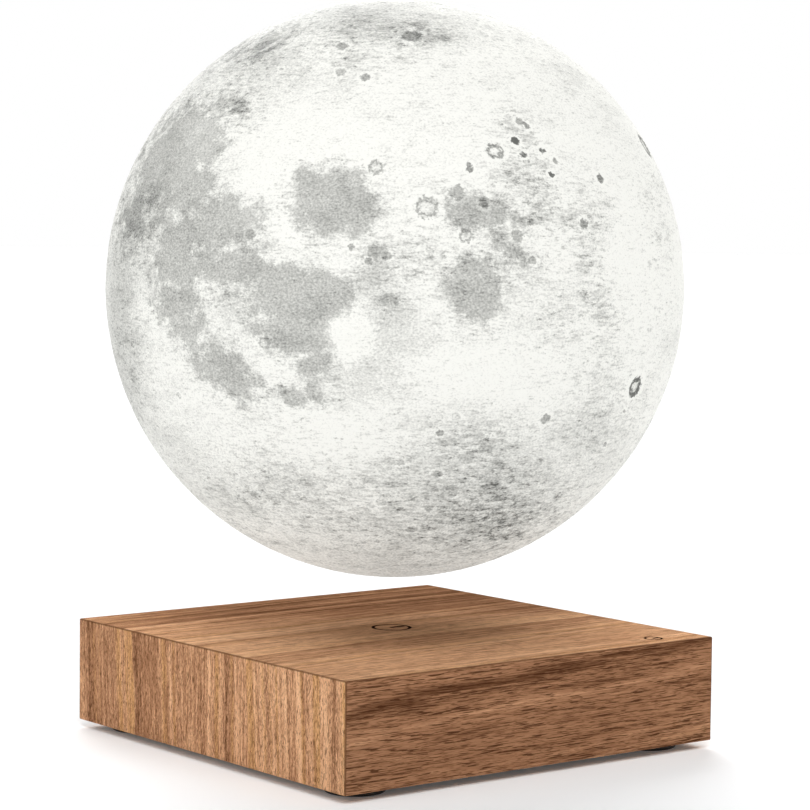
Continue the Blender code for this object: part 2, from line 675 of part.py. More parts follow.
def build_touch_sensor():
    """A copper pad against the wood, with a board under it that lines up with the pad's edge."""
    pad = disc_mesh("touch_pad", TOUCH_PAD_RADIUS, TOUCH_PAD_THICKNESS, SMALL_SEGMENTS)
    new_piece("touch_pad", pad, COPPER, (*TOUCH_PLACE, TOUCH_PAD_BOTTOM))
    length, width, _ = TOUCH_BOARD_SIZE
    board_x = TOUCH_PLACE[0] + TOUCH_PAD_RADIUS - length / 2
    board_y = TOUCH_PLACE[1] - TOUCH_PAD_RADIUS + width / 2
    mesh = box_mesh("touch_board", TOUCH_BOARD_SIZE)
    new_piece("touch_board", mesh, CIRCUIT_GREEN, (board_x, board_y, TOUCH_BOARD_BOTTOM))

    start = Vector((board_x - length / 4, board_y, TOUCH_BOARD_BOTTOM - SEAT_GAP))
    end_x = CAPACITOR_PLACE[0] - CAPACITOR_RADIUS - TOUCH_LEAD_GAP
    end = Vector((end_x, CAPACITOR_PLACE[1], PART_SEAT))
    drop = Vector((0, 0, (start.z - end.z) / 2))
    points = [start, start - drop, end + Vector((0, -LEAD_BEND, LEAD_BEND)), end]
    new_wire("touch_lead", points, TOUCH_LEAD_RADIUS, BLACK_WIRE)


# Float in the moon: a disc magnet and its steel plate, which the base holds up

MAGNET_RADIUS = 0.022
MAGNET_THICKNESS = 0.006
BACK_PLATE_THICKNESS = 0.0012

# Cup that closes the moon from below and carries the float, the coil and the LED board
CUP_SKIN = 0.0014
CUP_INNER_WALL = 0.0012
CUP_OUTER_WALL = 0.0053
RECEIVER_WIDTH = 0.0046
RECEIVER_HEIGHT = 0.004
RECEIVER_SHEET_THICKNESS = 0.0008
RECEIVER_SHEET_MARGIN = 0.0016


def moon_rise(radius, sphere=MOON_RADIUS):
    """Height above the moon's lowest point of a sphere about its middle, at a radius."""
    return MOON_RADIUS - math.sqrt(sphere ** 2 - radius ** 2)


MAGNET_POCKET = MAGNET_RADIUS + SEAT_GAP
MAGNET_SEAT = moon_rise(MAGNET_POCKET) + CUP_SKIN
BACK_PLATE_BOTTOM = MAGNET_SEAT + SEAT_GAP + MAGNET_THICKNESS + SEAT_GAP
BACK_PLATE_TOP = BACK_PLATE_BOTTOM + BACK_PLATE_THICKNESS
GROOVE_INNER = MAGNET_POCKET + CUP_INNER_WALL
GROOVE_OUTER = GROOVE_INNER + RECEIVER_WIDTH + 2 * SEAT_GAP
GROOVE_FLOOR = moon_rise(GROOVE_OUTER) + CUP_SKIN
RECEIVER_BOTTOM = GROOVE_FLOOR + SEAT_GAP
RECEIVER_TOP = RECEIVER_BOTTOM + RECEIVER_HEIGHT
RECEIVER_SHEET_BOTTOM = RECEIVER_TOP + SEAT_GAP
RECEIVER_SHEET_TOP = RECEIVER_SHEET_BOTTOM + RECEIVER_SHEET_THICKNESS
CUP_RADIUS = GROOVE_OUTER + CUP_OUTER_WALL
CUP_TOP = max(BACK_PLATE_TOP, RECEIVER_SHEET_TOP) + RIM_GAP

# LED board on the cup, and what it carries
LED_BOARD_MARGIN = 0.0008
LED_BOARD_THICKNESS = 0.0016
LED_SIZE = (0.0035, 0.0028, 0.0012)
LED_COUNT = 8
LED_STRIP_WIDTH = 0.006
LED_STRIP_THICKNESS = 0.0006
LED_STRIP_MARGIN = 0.006
RECTIFIER_SIZE = (0.005, 0.004, 0.0012)
MOON_CAPACITOR_RADIUS = 0.004
MOON_CAPACITOR_HEIGHT = 0.009
MOON_CHOKE_SIZE = (0.006, 0.006, 0.003)
MOON_PART_GAP = 0.0035
BOARD_SCREW_HEAD = 0.0019
BOARD_SCREW_HEAD_HEIGHT = 0.0012
BOARD_SCREW_SHANK = 0.0009
BOARD_SCREW_LENGTH = 0.005
BOARD_SCREW_COUNT = 3
COIL_LEAD_RADIUS = 0.0004

LED_BOARD_RADIUS = CUP_RADIUS - LED_BOARD_MARGIN
LED_BOARD_BOTTOM = CUP_TOP + SEAT_GAP
LED_BOARD_TOP = LED_BOARD_BOTTOM + LED_BOARD_THICKNESS
LED_SEAT = LED_BOARD_TOP + SEAT_GAP
BOARD_SCREW_CIRCLE = (GROOVE_OUTER + LED_BOARD_RADIUS) / 2
LED_CIRCLE = BOARD_SCREW_CIRCLE - BOARD_SCREW_HEAD - LED_STRIP_MARGIN - LED_STRIP_WIDTH / 2

# The rectifier, choke and capacitor stand inside the ring of LEDs
MOON_PART_CIRCLE = LED_CIRCLE - LED_STRIP_WIDTH / 2 - MOON_PART_GAP - MOON_CAPACITOR_RADIUS
MOON_PART_COUNT = 3
RECTIFIER_PLACE, MOON_CHOKE_PLACE, MOON_CAPACITOR_PLACE = on_circle(
    MOON_PART_CIRCLE, MOON_PART_COUNT, math.pi / 2)

# Printed shell of the moon, with a collar round its opening
SHELL_WALL = 0.0018
COLLAR_WALL = 0.0025
MARE_DEPTH = 0.0005
OUTER_DIVISIONS = 5
INNER_DIVISIONS = 4

OPENING_RADIUS = CUP_RADIUS + SEAT_GAP

# The side of the moon that faces the viewer, as an azimuth from -Y towards -X
FACE_AZIMUTH = math.radians(38)

# Maria as ellipses on the moon's face: across, up, half width and half height, as shares of its radius
MARE_SHARES = (
    (-0.71, 0.53, 0.13, 0.09),
    (-0.76, 0.35, 0.12, 0.08),
    (-0.68, 0.12, 0.17, 0.16),
    (-0.35, -0.04, 0.19, 0.19),
    (-0.59, -0.29, 0.09, 0.10),
    (-0.21, 0.31, 0.15, 0.12),
    (0.33, 0.22, 0.16, 0.14),
    (0.29, -0.01, 0.11, 0.12),
    (0.52, 0.36, 0.15, 0.22),
    (0.71, -0.10, 0.08, 0.12))
MARE_SHORE_SHARE = 0.35


def mare_depth(direction):
    """How deep the ground lies under the moon's highest level, in one direction."""
    ahead = Vector((-math.sin(FACE_AZIMUTH), -math.cos(FACE_AZIMUTH), 0))
    aside = Vector((math.cos(FACE_AZIMUTH), -math.sin(FACE_AZIMUTH), 0))
    if direction.dot(ahead) < 0:
        return 0
    across = direction.dot(aside)
    up = direction.z
    deepest = 0
    for mare_across, mare_up, half_width, half_height in MARE_SHARES:
        distance = math.hypot((across - mare_across) / half_width, (up - mare_up) / half_height)
        share = min(max((1 + MARE_SHORE_SHARE - distance) / (2 * MARE_SHORE_SHARE), 0), 1)
        deepest = max(deepest, MARE_DEPTH * share * share * (3 - 2 * share))
    return deepest


def sphere_mesh(name, radius, divisions, depth_at=None):
    """A sphere about the moon's middle, let down where the depth says."""
    shape = bmesh.new()
    bmesh.ops.create_icosphere(shape, subdivisions=divisions, radius=1)
    for vertex in shape.verts:
        direction = vertex.co.normalized()
        depth = depth_at(direction) if depth_at else 0
        vertex.co = direction * (radius - depth) + Vector((0, 0, MOON_RADIUS))
    return mesh_from(name, shape)


def build_moon_shell(moon):
    mesh = sphere_mesh("moon_shell", MOON_RADIUS, OUTER_DIVISIONS, mare_depth)
    shell = new_piece("moon_shell", mesh, MOON_PLASTIC, parent=moon)
    hollow = sphere_mesh("moon_hollow", MOON_RADIUS - SHELL_WALL, INNER_DIVISIONS)
    cut(shell, new_cutter("moon_hollow", hollow, parent=moon))
    collar_low = moon_rise(OPENING_RADIUS + COLLAR_WALL / 2, MOON_RADIUS - SHELL_WALL / 2)
    collar = ring_mesh(
        "shell_collar", OPENING_RADIUS - COLLAR_WALL / 2, OPENING_RADIUS + COLLAR_WALL,
        CUP_TOP - collar_low, FINE_SEGMENTS)
    join(shell, new_cutter("shell_collar", collar, (0, 0, collar_low), moon))
    opening = disc_mesh("shell_opening", OPENING_RADIUS, CUP_TOP + 2 * OVERRUN, FINE_SEGMENTS)
    cut(shell, new_cutter("shell_opening", opening, (0, 0, -OVERRUN), moon))


def build_bottom_cup(moon):
    arc_steps = 5
    underside = []
    for step in range(arc_steps + 1):
        radius = CUP_RADIUS * (1 - step / arc_steps)
        underside.append((radius, moon_rise(radius)))
    outline = [
        (0, MAGNET_SEAT), (MAGNET_POCKET, MAGNET_SEAT), (MAGNET_POCKET, CUP_TOP - RIM_GAP),
        (GROOVE_INNER, CUP_TOP - RIM_GAP), (GROOVE_INNER, GROOVE_FLOOR), (GROOVE_OUTER, GROOVE_FLOOR),
        (GROOVE_OUTER, CUP_TOP), (CUP_RADIUS, CUP_TOP)]
    mesh = turned_mesh("bottom_cup", outline + underside, FINE_SEGMENTS)
    cup = new_piece("bottom_cup", mesh, WHITE_PLASTIC, parent=moon)
    reach = BOARD_SCREW_LENGTH - LED_BOARD_THICKNESS + SEAT_GAP
    pilots = cylinders_mesh(
        "cup_pilots", BOARD_SCREW_SHANK + SEAT_GAP, reach + OVERRUN,
        on_circle(BOARD_SCREW_CIRCLE, BOARD_SCREW_COUNT))
    cut(cup, new_cutter("cup_pilots", pilots, (0, 0, CUP_TOP - reach), moon))


def build_receiver(moon):
    inner = GROOVE_INNER + SEAT_GAP
    outer = GROOVE_OUTER - SEAT_GAP
    coil = ring_mesh("receiver_coil", inner, outer, RECEIVER_HEIGHT)
    new_piece("receiver_coil", coil, COPPER, (0, 0, RECEIVER_BOTTOM), moon)
    sheet = ring_mesh("receiver_sheet", inner, outer - RECEIVER_SHEET_MARGIN, RECEIVER_SHEET_THICKNESS)
    new_piece("receiver_sheet", sheet, FERRITE, (0, 0, RECEIVER_SHEET_BOTTOM), moon)
    place = outer - RECEIVER_SHEET_MARGIN / 2
    low = RECEIVER_TOP + SEAT_GAP
    height = LED_BOARD_BOTTOM - SEAT_GAP - low
    lead = disc_mesh("receiver_lead", COIL_LEAD_RADIUS, height, SMALL_SEGMENTS // 2)
    new_piece("receiver_lead", lead, COPPER, (0, place, low), moon)


def build_led_board(moon):
    mesh = disc_mesh("led_board", LED_BOARD_RADIUS, LED_BOARD_THICKNESS, FINE_SEGMENTS)
    board = new_piece("led_board", mesh, CIRCUIT_WHITE, (0, 0, LED_BOARD_BOTTOM), moon)
    places = on_circle(BOARD_SCREW_CIRCLE, BOARD_SCREW_COUNT)
    holes = cylinders_mesh(
        "led_board_holes", BOARD_SCREW_SHANK + SEAT_GAP, LED_BOARD_THICKNESS + 2 * OVERRUN, places)
    cut(board, new_cutter("led_board_holes", holes, (0, 0, LED_BOARD_BOTTOM - OVERRUN), moon))
    outline = screw_outline(
        BOARD_SCREW_HEAD, BOARD_SCREW_HEAD_HEIGHT, BOARD_SCREW_SHANK, BOARD_SCREW_LENGTH)
    new_screws("led_board_screw", outline, at_height(places, LED_SEAT), parent=moon)

    strip = ring_mesh(
        "led_ring", LED_CIRCLE - LED_STRIP_WIDTH / 2, LED_CIRCLE + LED_STRIP_WIDTH / 2, LED_STRIP_THICKNESS)
    strip = new_piece("led_ring", strip, LED_YELLOW, (0, 0, LED_SEAT), moon)
    shape = bmesh.new()
    for index, place in enumerate(on_circle(LED_CIRCLE, LED_COUNT)):
        add_box(shape, LED_SIZE, place, turn=math.tau * index / LED_COUNT)
    leds = mesh_from("led_bodies", shape)
    join(strip, new_cutter("led_bodies", leds, (0, 0, LED_SEAT + LED_STRIP_THICKNESS / 2), moon))
    mesh = box_mesh("rectifier_chip", RECTIFIER_SIZE)
    new_piece("rectifier_chip", mesh, CHIP_BLACK, (*RECTIFIER_PLACE, LED_SEAT), moon)
    mesh = disc_mesh("moon_capacitor", MOON_CAPACITOR_RADIUS, MOON_CAPACITOR_HEIGHT, SMALL_SEGMENTS)
    new_piece("moon_capacitor", mesh, CAPACITOR_BLUE, (*MOON_CAPACITOR_PLACE, LED_SEAT), moon)
    mesh = box_mesh("moon_choke", MOON_CHOKE_SIZE)
    new_piece("moon_choke", mesh, FERRITE, (*MOON_CHOKE_PLACE, LED_SEAT), moon)


def build_float(carrier):
    magnet = disc_mesh("float_magnet", MAGNET_RADIUS, MAGNET_THICKNESS, FINE_SEGMENTS)
    new_piece("float_magnet", magnet, NICKEL, (0, 0, MAGNET_SEAT + SEAT_GAP), carrier)
    plate = disc_mesh("float_back_plate", MAGNET_RADIUS, BACK_PLATE_THICKNESS, FINE_SEGMENTS)
    new_piece("float_back_plate", plate, STEEL, (0, 0, BACK_PLATE_BOTTOM), carrier)


def new_axis(name, height, parent=None):
    """An empty on the Z axis, which a moving body hangs from."""
    axis = bpy.data.objects.new(name, None)
    axis.location = (0, 0, height)
    axis.parent = parent
    LAMP.objects.link(axis)
    return axis


def build_moon():
    """The float rises and sinks on the lift axis, and the moon turns about it on the spin axis."""
    lift_axis = new_axis("lift_axis", MOON_BOTTOM)
    spin_axis = new_axis("spin_axis", 0, lift_axis)
    build_float(lift_axis)
    build_moon_shell(spin_axis)
    build_bottom_cup(spin_axis)
    build_receiver(spin_axis)
    build_led_board(spin_axis)


build_base()
build_module()
build_inlet()
build_inlet_leads()
build_touch_sensor()
build_moon()
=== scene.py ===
"""Levitating moon lamp: the finishes of a printed moon that floats over a walnut base.

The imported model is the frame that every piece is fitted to. Lengths are in metres, and +Z is up.
"""

import math

import bmesh
import bpy
import numpy
from mathutils import Matrix, Vector, noise


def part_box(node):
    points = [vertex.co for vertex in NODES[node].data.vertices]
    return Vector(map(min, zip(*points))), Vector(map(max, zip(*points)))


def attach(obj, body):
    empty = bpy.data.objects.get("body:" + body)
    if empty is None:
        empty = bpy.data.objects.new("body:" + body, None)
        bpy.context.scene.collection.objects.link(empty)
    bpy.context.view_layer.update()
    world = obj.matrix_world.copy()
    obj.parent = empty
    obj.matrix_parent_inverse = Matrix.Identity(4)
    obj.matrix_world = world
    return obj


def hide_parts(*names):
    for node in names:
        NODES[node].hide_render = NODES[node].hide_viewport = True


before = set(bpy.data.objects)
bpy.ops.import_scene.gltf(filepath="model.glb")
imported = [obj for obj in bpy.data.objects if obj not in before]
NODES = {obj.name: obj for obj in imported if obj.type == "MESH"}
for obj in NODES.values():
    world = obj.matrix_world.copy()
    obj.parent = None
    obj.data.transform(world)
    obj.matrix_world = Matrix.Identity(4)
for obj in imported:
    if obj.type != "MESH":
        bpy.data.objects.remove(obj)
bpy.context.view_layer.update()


# Camera: a long lens, a little above the base, that looks at the corner between the base's
# left and front faces. Its roll and aim share out the small offset between moon and base.

WOOD_LOW, WOOD_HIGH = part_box("wood_body")
CAMERA_AZIMUTH = math.radians(-38.07)
CAMERA_ELEVATION = math.radians(4.0)
CAMERA_ROLL = math.radians(0.6)
CAMERA_DISTANCE = 0.8494
CAMERA_ASIDE = 0.0035
CAMERA_RISE = 0.1023
LENS_MM = 119.7
SENSOR_MM = 36


def add_camera():
    back = Vector((
        math.sin(CAMERA_AZIMUTH) * math.cos(CAMERA_ELEVATION),
        -math.cos(CAMERA_AZIMUTH) * math.cos(CAMERA_ELEVATION),
        math.sin(CAMERA_ELEVATION)))
    right = Vector((math.cos(CAMERA_AZIMUTH), math.sin(CAMERA_AZIMUTH), 0))
    up = back.cross(right)
    place = Vector((0, 0, WOOD_LOW.z)) + CAMERA_ASIDE * right + CAMERA_RISE * up + CAMERA_DISTANCE * back
    rolled_right = math.cos(CAMERA_ROLL) * right + math.sin(CAMERA_ROLL) * up
    rolled_up = math.cos(CAMERA_ROLL) * up - math.sin(CAMERA_ROLL) * right
    camera = bpy.data.objects.new("camera", bpy.data.cameras.new("camera"))
    turn = Matrix((rolled_right, rolled_up, back)).transposed().to_4x4()
    camera.matrix_world = Matrix.Translation(place) @ turn
    camera.data.lens = LENS_MM
    camera.data.sensor_width = SENSOR_MM
    bpy.context.collection.objects.link(camera)
    bpy.context.scene.camera = camera
    return place, rolled_up


CAMERA_PLACE, CAMERA_UP = add_camera()


# Studio: a wide white paper floor, an even pale room, and three soft lights: a low one on the
# left, a high one in front, and one behind on the right. None of it is the lamp's.

FLOOR_RADIUS = 12.0
FLOOR_SIDES = 64
PAPER_WHITE = (0.930, 0.938, 0.944)
PAPER_ROUGHNESS = 0.9
PAPER_LIFT = 0.06
PAPER_TOOTH = 900.0
TOOTH_DEPTH = 0.04
ROOM_LIGHT = 0.17
BACKGROUND_WHITE = 1.0
WHITE = (1, 1, 1)

# Azimuth and elevation in degrees, strength, and how many degrees wide the light looks
LIGHTS = (
    ("left_light", -90, 28, 0.80, 42),
    ("front_light", -30, 52, 1.90, 42),
    ("back_light", 150, 33, 2.65, 42))


def feed(node, inputs):
    """Link other nodes' sockets to a node's inputs, or set plain values on them."""
    for name, value in inputs.items():
        if isinstance(value, bpy.types.NodeSocket):
            node.id_data.links.new(value, node.inputs[name])
        else:
            node.inputs[name].default_value = value


def add_node(tree, kind, inputs=None, **settings):
    """A new node in a tree; its inputs are given as feed takes them."""
    made = tree.nodes.new(kind)
    for name, value in settings.items():
        setattr(made, name, value)
    feed(made, inputs or {})
    return made


def maths(operation, *values, clamp=False):
    """A number from others, in the node tree of those that are sockets."""
    tree = next(value.id_data for value in values if isinstance(value, bpy.types.NodeSocket))
    inputs = dict(enumerate(values))
    return add_node(tree, "ShaderNodeMath", inputs, operation=operation, use_clamp=clamp).outputs[0]


def scaled(value, factor, offset):
    """A value times a factor, plus an offset."""
    return maths("MULTIPLY_ADD", value, factor, offset)


def stretched(vector, scales):
    inputs = {0: vector, 1: scales}
    return add_node(vector.id_data, "ShaderNodeVectorMath", inputs, operation="MULTIPLY").outputs[0]


def grainy(vector, scale, detail=2.0, roughness=0.5):
    """The value of a noise texture, about 0.5 on average. Its scale may be one for each axis."""
    if isinstance(scale, tuple):
        vector = stretched(vector, scale)
        scale = 1.0
    inputs = {"Vector": vector, "Scale": scale, "Detail": detail, "Roughness": roughness}
    return add_node(vector.id_data, "ShaderNodeTexNoise", inputs).outputs["Fac"]


def swing(value, amount):
    """Turn a value about 0.5 into one about zero, times an amount."""
    return maths("MULTIPLY", maths("SUBTRACT", value, 0.5), amount)


def step_between(value, low, high):
    """Rise smoothly from 0 at low to 1 at high."""
    inputs = {"Value": value, "From Min": low, "From Max": high}
    ranged = add_node(value.id_data, "ShaderNodeMapRange", inputs, interpolation_type="SMOOTHSTEP")
    return ranged.outputs["Result"]


def blend(share, first, second):
    """Mix two colours; a plain colour is given as three numbers."""
    inputs = {0: share}
    for index, value in ((6, first), (7, second)):
        inputs[index] = value if isinstance(value, bpy.types.NodeSocket) else (*value, 1)
    return add_node(share.id_data, "ShaderNodeMix", inputs, data_type="RGBA").outputs[2]


def object_place(tree):
    return add_node(tree, "ShaderNodeTexCoord").outputs["Object"]


def new_finish(name, roughness, metallic=0.0):
    """A material with its Principled shader, ready for colour and bump."""
    finish = bpy.data.materials.new(name)
    finish.use_nodes = True
    shader = finish.node_tree.nodes["Principled BSDF"]
    shader.inputs["Roughness"].default_value = roughness
    shader.inputs["Metallic"].default_value = metallic
    return finish, finish.node_tree, shader


def add_bump(shader, height, depth, strength=0.5):
    inputs = {"Height": height, "Distance": depth, "Strength": strength}
    bump = add_node(shader.id_data, "ShaderNodeBump", inputs)
    feed(shader, {"Normal": bump.outputs["Normal"]})


def seen_directly(tree):
    """1 for what the camera sees, also by way of a mirror or glass, and 0 for light that spreads."""
    path = add_node(tree, "ShaderNodeLightPath").outputs
    direct = maths("MAXIMUM", path["Is Camera Ray"], path["Is Glossy Ray"])
    return maths("MAXIMUM", direct, path["Is Transmission Ray"])


def new_object(name, shape, smooth_angle=None):
    """An object made from a bmesh, at the origin."""
    mesh = bpy.data.meshes.new(name)
    shape.to_mesh(mesh)
    shape.free()
    if smooth_angle is not None:
        mesh.shade_smooth()
        mesh.set_sharp_from_angle(angle=smooth_angle)
    made = bpy.data.objects.new(name, mesh)
    bpy.context.collection.objects.link(made)
    return made


def add_floor():
    shape = bmesh.new()
    bmesh.ops.create_circle(shape, cap_ends=True, radius=FLOOR_RADIUS, segments=FLOOR_SIDES)
    floor = new_object("floor", shape)
    paper, tree, shader = new_finish("floor_paper", PAPER_ROUGHNESS)
    tooth = swing(grainy(object_place(tree), PAPER_TOOTH), TOOTH_DEPTH)
    feed(shader, {
        "Base Color": blend(tooth, PAPER_WHITE, WHITE),
        "Specular IOR Level": 0.0,
        "Emission Color": maths("MULTIPLY", seen_directly(tree), PAPER_LIFT),
        "Emission Strength": 1.0})
    floor.data.materials.append(paper)


def light_the_room():
    world = bpy.data.worlds.new("room")
    bpy.context.scene.world = world
    world.use_nodes = True
    tree = world.node_tree
    strength = scaled(seen_directly(tree), BACKGROUND_WHITE - ROOM_LIGHT, ROOM_LIGHT)
    feed(tree.nodes["Background"], {"Color": (*WHITE, 1), "Strength": strength})


def add_soft_light(name, azimuth, elevation, strength, spread):
    """A far, wide light. Its azimuth is that of the side it stands on, as the camera's is."""
    lamp = bpy.data.lights.new(name, "SUN")
    lamp.energy = strength
    lamp.angle = math.radians(spread)
    light = bpy.data.objects.new(name, lamp)
    light.rotation_euler = (math.radians(90 - elevation), 0, math.radians(azimuth))
    bpy.context.collection.objects.link(light)


add_floor()
light_the_room()
for soft_light in LIGHTS:
    add_soft_light(*soft_light)
bpy.context.scene.view_settings.view_transform = "Standard"


# Walnut block: one piece of oiled walnut, milled hollow from below with a post left in each
# corner. Its edges are only just eased, and a round hole in the back lets the plug in.

EASED_EDGE = 0.0004
EASED_STEPS = 3
FIT_GAP = 0.0003
CORNER_POST = 0.009
REBATE_DEPTH = 0.0033
OVERCUT = 0.001
HOLE_RADIUS = 0.0055
HOLE_SIDES = 96
SMOOTH_ANGLE = math.radians(35)

POCKET_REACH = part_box("bottom_cover")[1].x + FIT_GAP
POCKET_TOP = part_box("module_top_plate")[1].z + FIT_GAP
REBATE_TOP = WOOD_LOW.z + REBATE_DEPTH
INLET_MIDDLE = (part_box("inlet_body")[0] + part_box("inlet_body")[1]) / 2


def add_box(shape, low, high):
    size = high - low
    place = Matrix.Translation((low + high) / 2) @ Matrix.Diagonal((*size, 1))
    bmesh.ops.create_cube(shape, size=1, matrix=place)


def box_tool(name, low, high):
    shape = bmesh.new()
    add_box(shape, Vector(low), Vector(high))
    return new_object(name, shape)


def rod_tool(name, radius, start, end, sides):
    """A cylinder between two points."""
    shape = bmesh.new()
    along = Vector(end) - Vector(start)
    turn = along.to_track_quat("Z", "Y").to_matrix().to_4x4()
    place = Matrix.Translation((Vector(start) + Vector(end)) / 2) @ turn
    bmesh.ops.create_cone(
        shape, cap_ends=True, segments=sides, radius1=radius, radius2=radius,
        depth=along.length, matrix=place)
    return new_object(name, shape)


def carve(piece, tools):
    """Cut the tools out of a piece for good, and throw them away."""
    for tool in tools:
        cut = piece.modifiers.new(tool.name, "BOOLEAN")
        cut.operation = "DIFFERENCE"
        cut.solver = "EXACT"
        cut.object = tool
    bpy.context.view_layer.update()
    source = piece.evaluated_get(bpy.context.evaluated_depsgraph_get())
    mesh = bpy.data.meshes.new_from_object(source)
    piece.modifiers.clear()
    piece.data = mesh
    mesh.name = piece.name
    for tool in tools:
        bpy.data.objects.remove(tool, do_unlink=True)


def build_walnut_block():
    shape = bmesh.new()
    add_box(shape, WOOD_LOW, WOOD_HIGH)
    bmesh.ops.bevel(
        shape, geom=shape.edges[:], offset=EASED_EDGE, offset_type="OFFSET",
        segments=EASED_STEPS, profile=0.5, affect="EDGES", material=-1)
    block = new_object("walnut_block", shape, SMOOTH_ANGLE)

    low = WOOD_LOW.z - OVERCUT
    narrow = POCKET_REACH - CORNER_POST
    hole_start = (0, POCKET_REACH - OVERCUT, INLET_MIDDLE.z)
    hole_end = (0, WOOD_HIGH.y + OVERCUT, INLET_MIDDLE.z)
    tools = [
        box_tool("pocket_along_x", (-POCKET_REACH, -narrow, low), (POCKET_REACH, narrow, POCKET_TOP)),
        box_tool("pocket_along_y", (-narrow, -POCKET_REACH, low), (narrow, POCKET_REACH, POCKET_TOP)),
        box_tool("rebate", (-POCKET_REACH, -POCKET_REACH, low), (POCKET_REACH, POCKET_REACH, REBATE_TOP)),
        rod_tool("plug_hole", HOLE_RADIUS, hole_start, hole_end, HOLE_SIDES)]
    carve(block, tools)
    return block


WALNUT_BLOCK = build_walnut_block()


# Walnut block, its marks: a ring with a short bar in the middle of the top, and a smaller one over
# the touch sensor near the right corner. Both are burned a third of a millimetre into the wood.

GROOVE_DEPTH = 0.0003
CENTRE_RING = 0.0058
CENTRE_LINE = 0.0008
CENTRE_BAR = 0.0044
TOUCH_RING = 0.0026
TOUCH_LINE = 0.0005
TOUCH_BAR = 0.0024
RING_STEPS = 96
GROOVE_STEPS = 12

TOUCH_MIDDLE = (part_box("touch_pad")[0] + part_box("touch_pad")[1]) / 2
MARKS = (
    ("centre_mark", Vector((0, 0, WOOD_HIGH.z)), CENTRE_RING, CENTRE_LINE, CENTRE_BAR),
    ("touch_mark", Vector((*TOUCH_MIDDLE.xy, WOOD_HIGH.z)), TOUCH_RING, TOUCH_LINE, TOUCH_BAR))


def mark_tools(name, place, radius, line, bar):
    """A ring of round section and a thin bar from its middle to the right, sunk by the depth."""
    shape = bmesh.new()
    section = bmesh.ops.create_circle(shape, radius=line / 2, segments=GROOVE_STEPS)
    bmesh.ops.scale(shape, vec=(1, 2 * GROOVE_DEPTH / line, 1), verts=section["verts"])
    bmesh.ops.rotate(shape, matrix=Matrix.Rotation(math.radians(90), 3, "X"), verts=section["verts"])
    bmesh.ops.translate(shape, vec=(radius, 0, 0), verts=section["verts"])
    bmesh.ops.spin(
        shape, geom=shape.verts[:] + shape.edges[:], cent=(0, 0, 0), axis=(0, 0, 1),
        angle=math.tau, steps=RING_STEPS, use_merge=True)
    bmesh.ops.recalc_face_normals(shape, faces=shape.faces[:])
    bmesh.ops.translate(shape, vec=place, verts=shape.verts[:])
    ring = new_object(f"{name}_ring", shape)
    low = place + Vector((0, -line / 2, -GROOVE_DEPTH))
    high = place + Vector((bar, line / 2, OVERCUT))
    return [ring, box_tool(f"{name}_bar", low, high)]


for mark in MARKS:
    carve(WALNUT_BLOCK, mark_tools(*mark))
WALNUT_BLOCK.data.shade_smooth()
WALNUT_BLOCK.data.set_sharp_from_angle(angle=SMOOTH_ANGLE)


# Walnut block, its finish: warm brown bands that follow the growth rings, fine fibres and short
# dark pores under oil. The left and right ends show upright grain, and the marks are charred.
# The front and back are painted darker than the top as shade, and a painted shadow of the moon
# lies across the top.

GRAIN_DARK = (0.150, 0.064, 0.030)
GRAIN_MIDDLE = (0.400, 0.198, 0.104)
GRAIN_LIGHT = (0.680, 0.375, 0.205)
GRAIN_GOLD = (0.620, 0.330, 0.135)
GRAIN_PALE = (0.850, 0.515, 0.300)
PORE_BROWN = (0.060, 0.022, 0.009)
CHAR_BROWN = (0.025, 0.011, 0.005)
EDGE_BROWN = (0.130, 0.058, 0.028)

# Tones between which the colours blend
DARK_TO_MIDDLE = (0.0, 0.52)
MIDDLE_TO_LIGHT = (0.45, 1.0)
LIGHT_TO_PALE = (0.80, 1.50)

# The growth rings lean with height, run at a slant along the block, and wander a little
RING_LEAN = 0.55
RING_SLANT = -0.05
RING_WANDER = 0.012
WANDER_NOISE = ((8, 22, 34), 3.0)

# Scale, detail and roughness of each part of the grain, and how far it swings the tone
BAND_NOISE = (210.0, 4.0, 0.62)
BAND_SWING = 1.35
BROAD_NOISE = (48.0, 1.0)
BROAD_SWING = 0.85
FIBRE_NOISE = ((120, 2800, 2800), 3.0, 0.62)
FIBRE_SWING = 1.1
STREAK_NOISE = ((24, 1100, 1100), 3.0, 0.60)
STREAK_SWING = 1.3
CLOUD_NOISE = ((30, 90, 90), 3.0)
CLOUD_SWING = 0.4
GOLD_NOISE = (190.0, 2.0)
GOLD_EDGE = (0.50, 0.62)

# Long and short pores: scales, where they begin and are full, and how dark they are
PORE_KINDS = (
    ((140, 3300, 3300), 0.58, 0.62, 1.0),
    ((300, 4200, 4200), 0.56, 0.66, 0.7))
PORE_CROWDING = -0.16

# The top, the left and right ends, and the front and back each show the grain in their own way.
# Their levels are partly painted shade, the front and back set much darker than the top; the ends
# also grow darker towards the back.
FACE_TURN = (0.68, 0.72)
END_SHORTNESS = 4.0
TOP_CONTRAST = 0.90
END_CONTRAST = 1.12
FRONT_CONTRAST = 0.80
TOP_LEVEL = 0.915
END_LEVEL = 0.745
FRONT_SHADED_LEVEL = 0.39
TOP_PORES = 0.62
END_PORES = 0.67
FRONT_PORES = 0.85
TOP_GOLD = 0.4
END_FADE = 2.5

# Darker heartwood and a painted shadow of the moon lie across the centre and back of the top, slanted as
# the shadow falls, and show less on the ends
HEART_SHADOW_SHADE = 0.45
HEART_SHADOW_SLANT = 0.5
HEART_SHADOW_EDGE = (0.010, 0.050)
HEART_SHADOW_DRIFT = 0.03
HEART_SHADOW_SCALES = (5, 30, 30)
HEART_SHADOW_ON_END = 0.3

EDGE_WIDTH = 0.0006
EDGE_CORE = 0.4
EDGE_DARKENING = 0.75
SCORCH = 0.0003
CHAR_BOTTOM = (-0.0012, -0.0009)
BAR_SPREAD = 0.6
OIL_ROUGHNESS = 0.72
PORE_ROUGHER = 0.25
CHAR_ROUGHER = 0.3
OIL_SHEEN = 0.0
GRAIN_RISE = 0.35
GRAIN_DEPTH = 0.0001


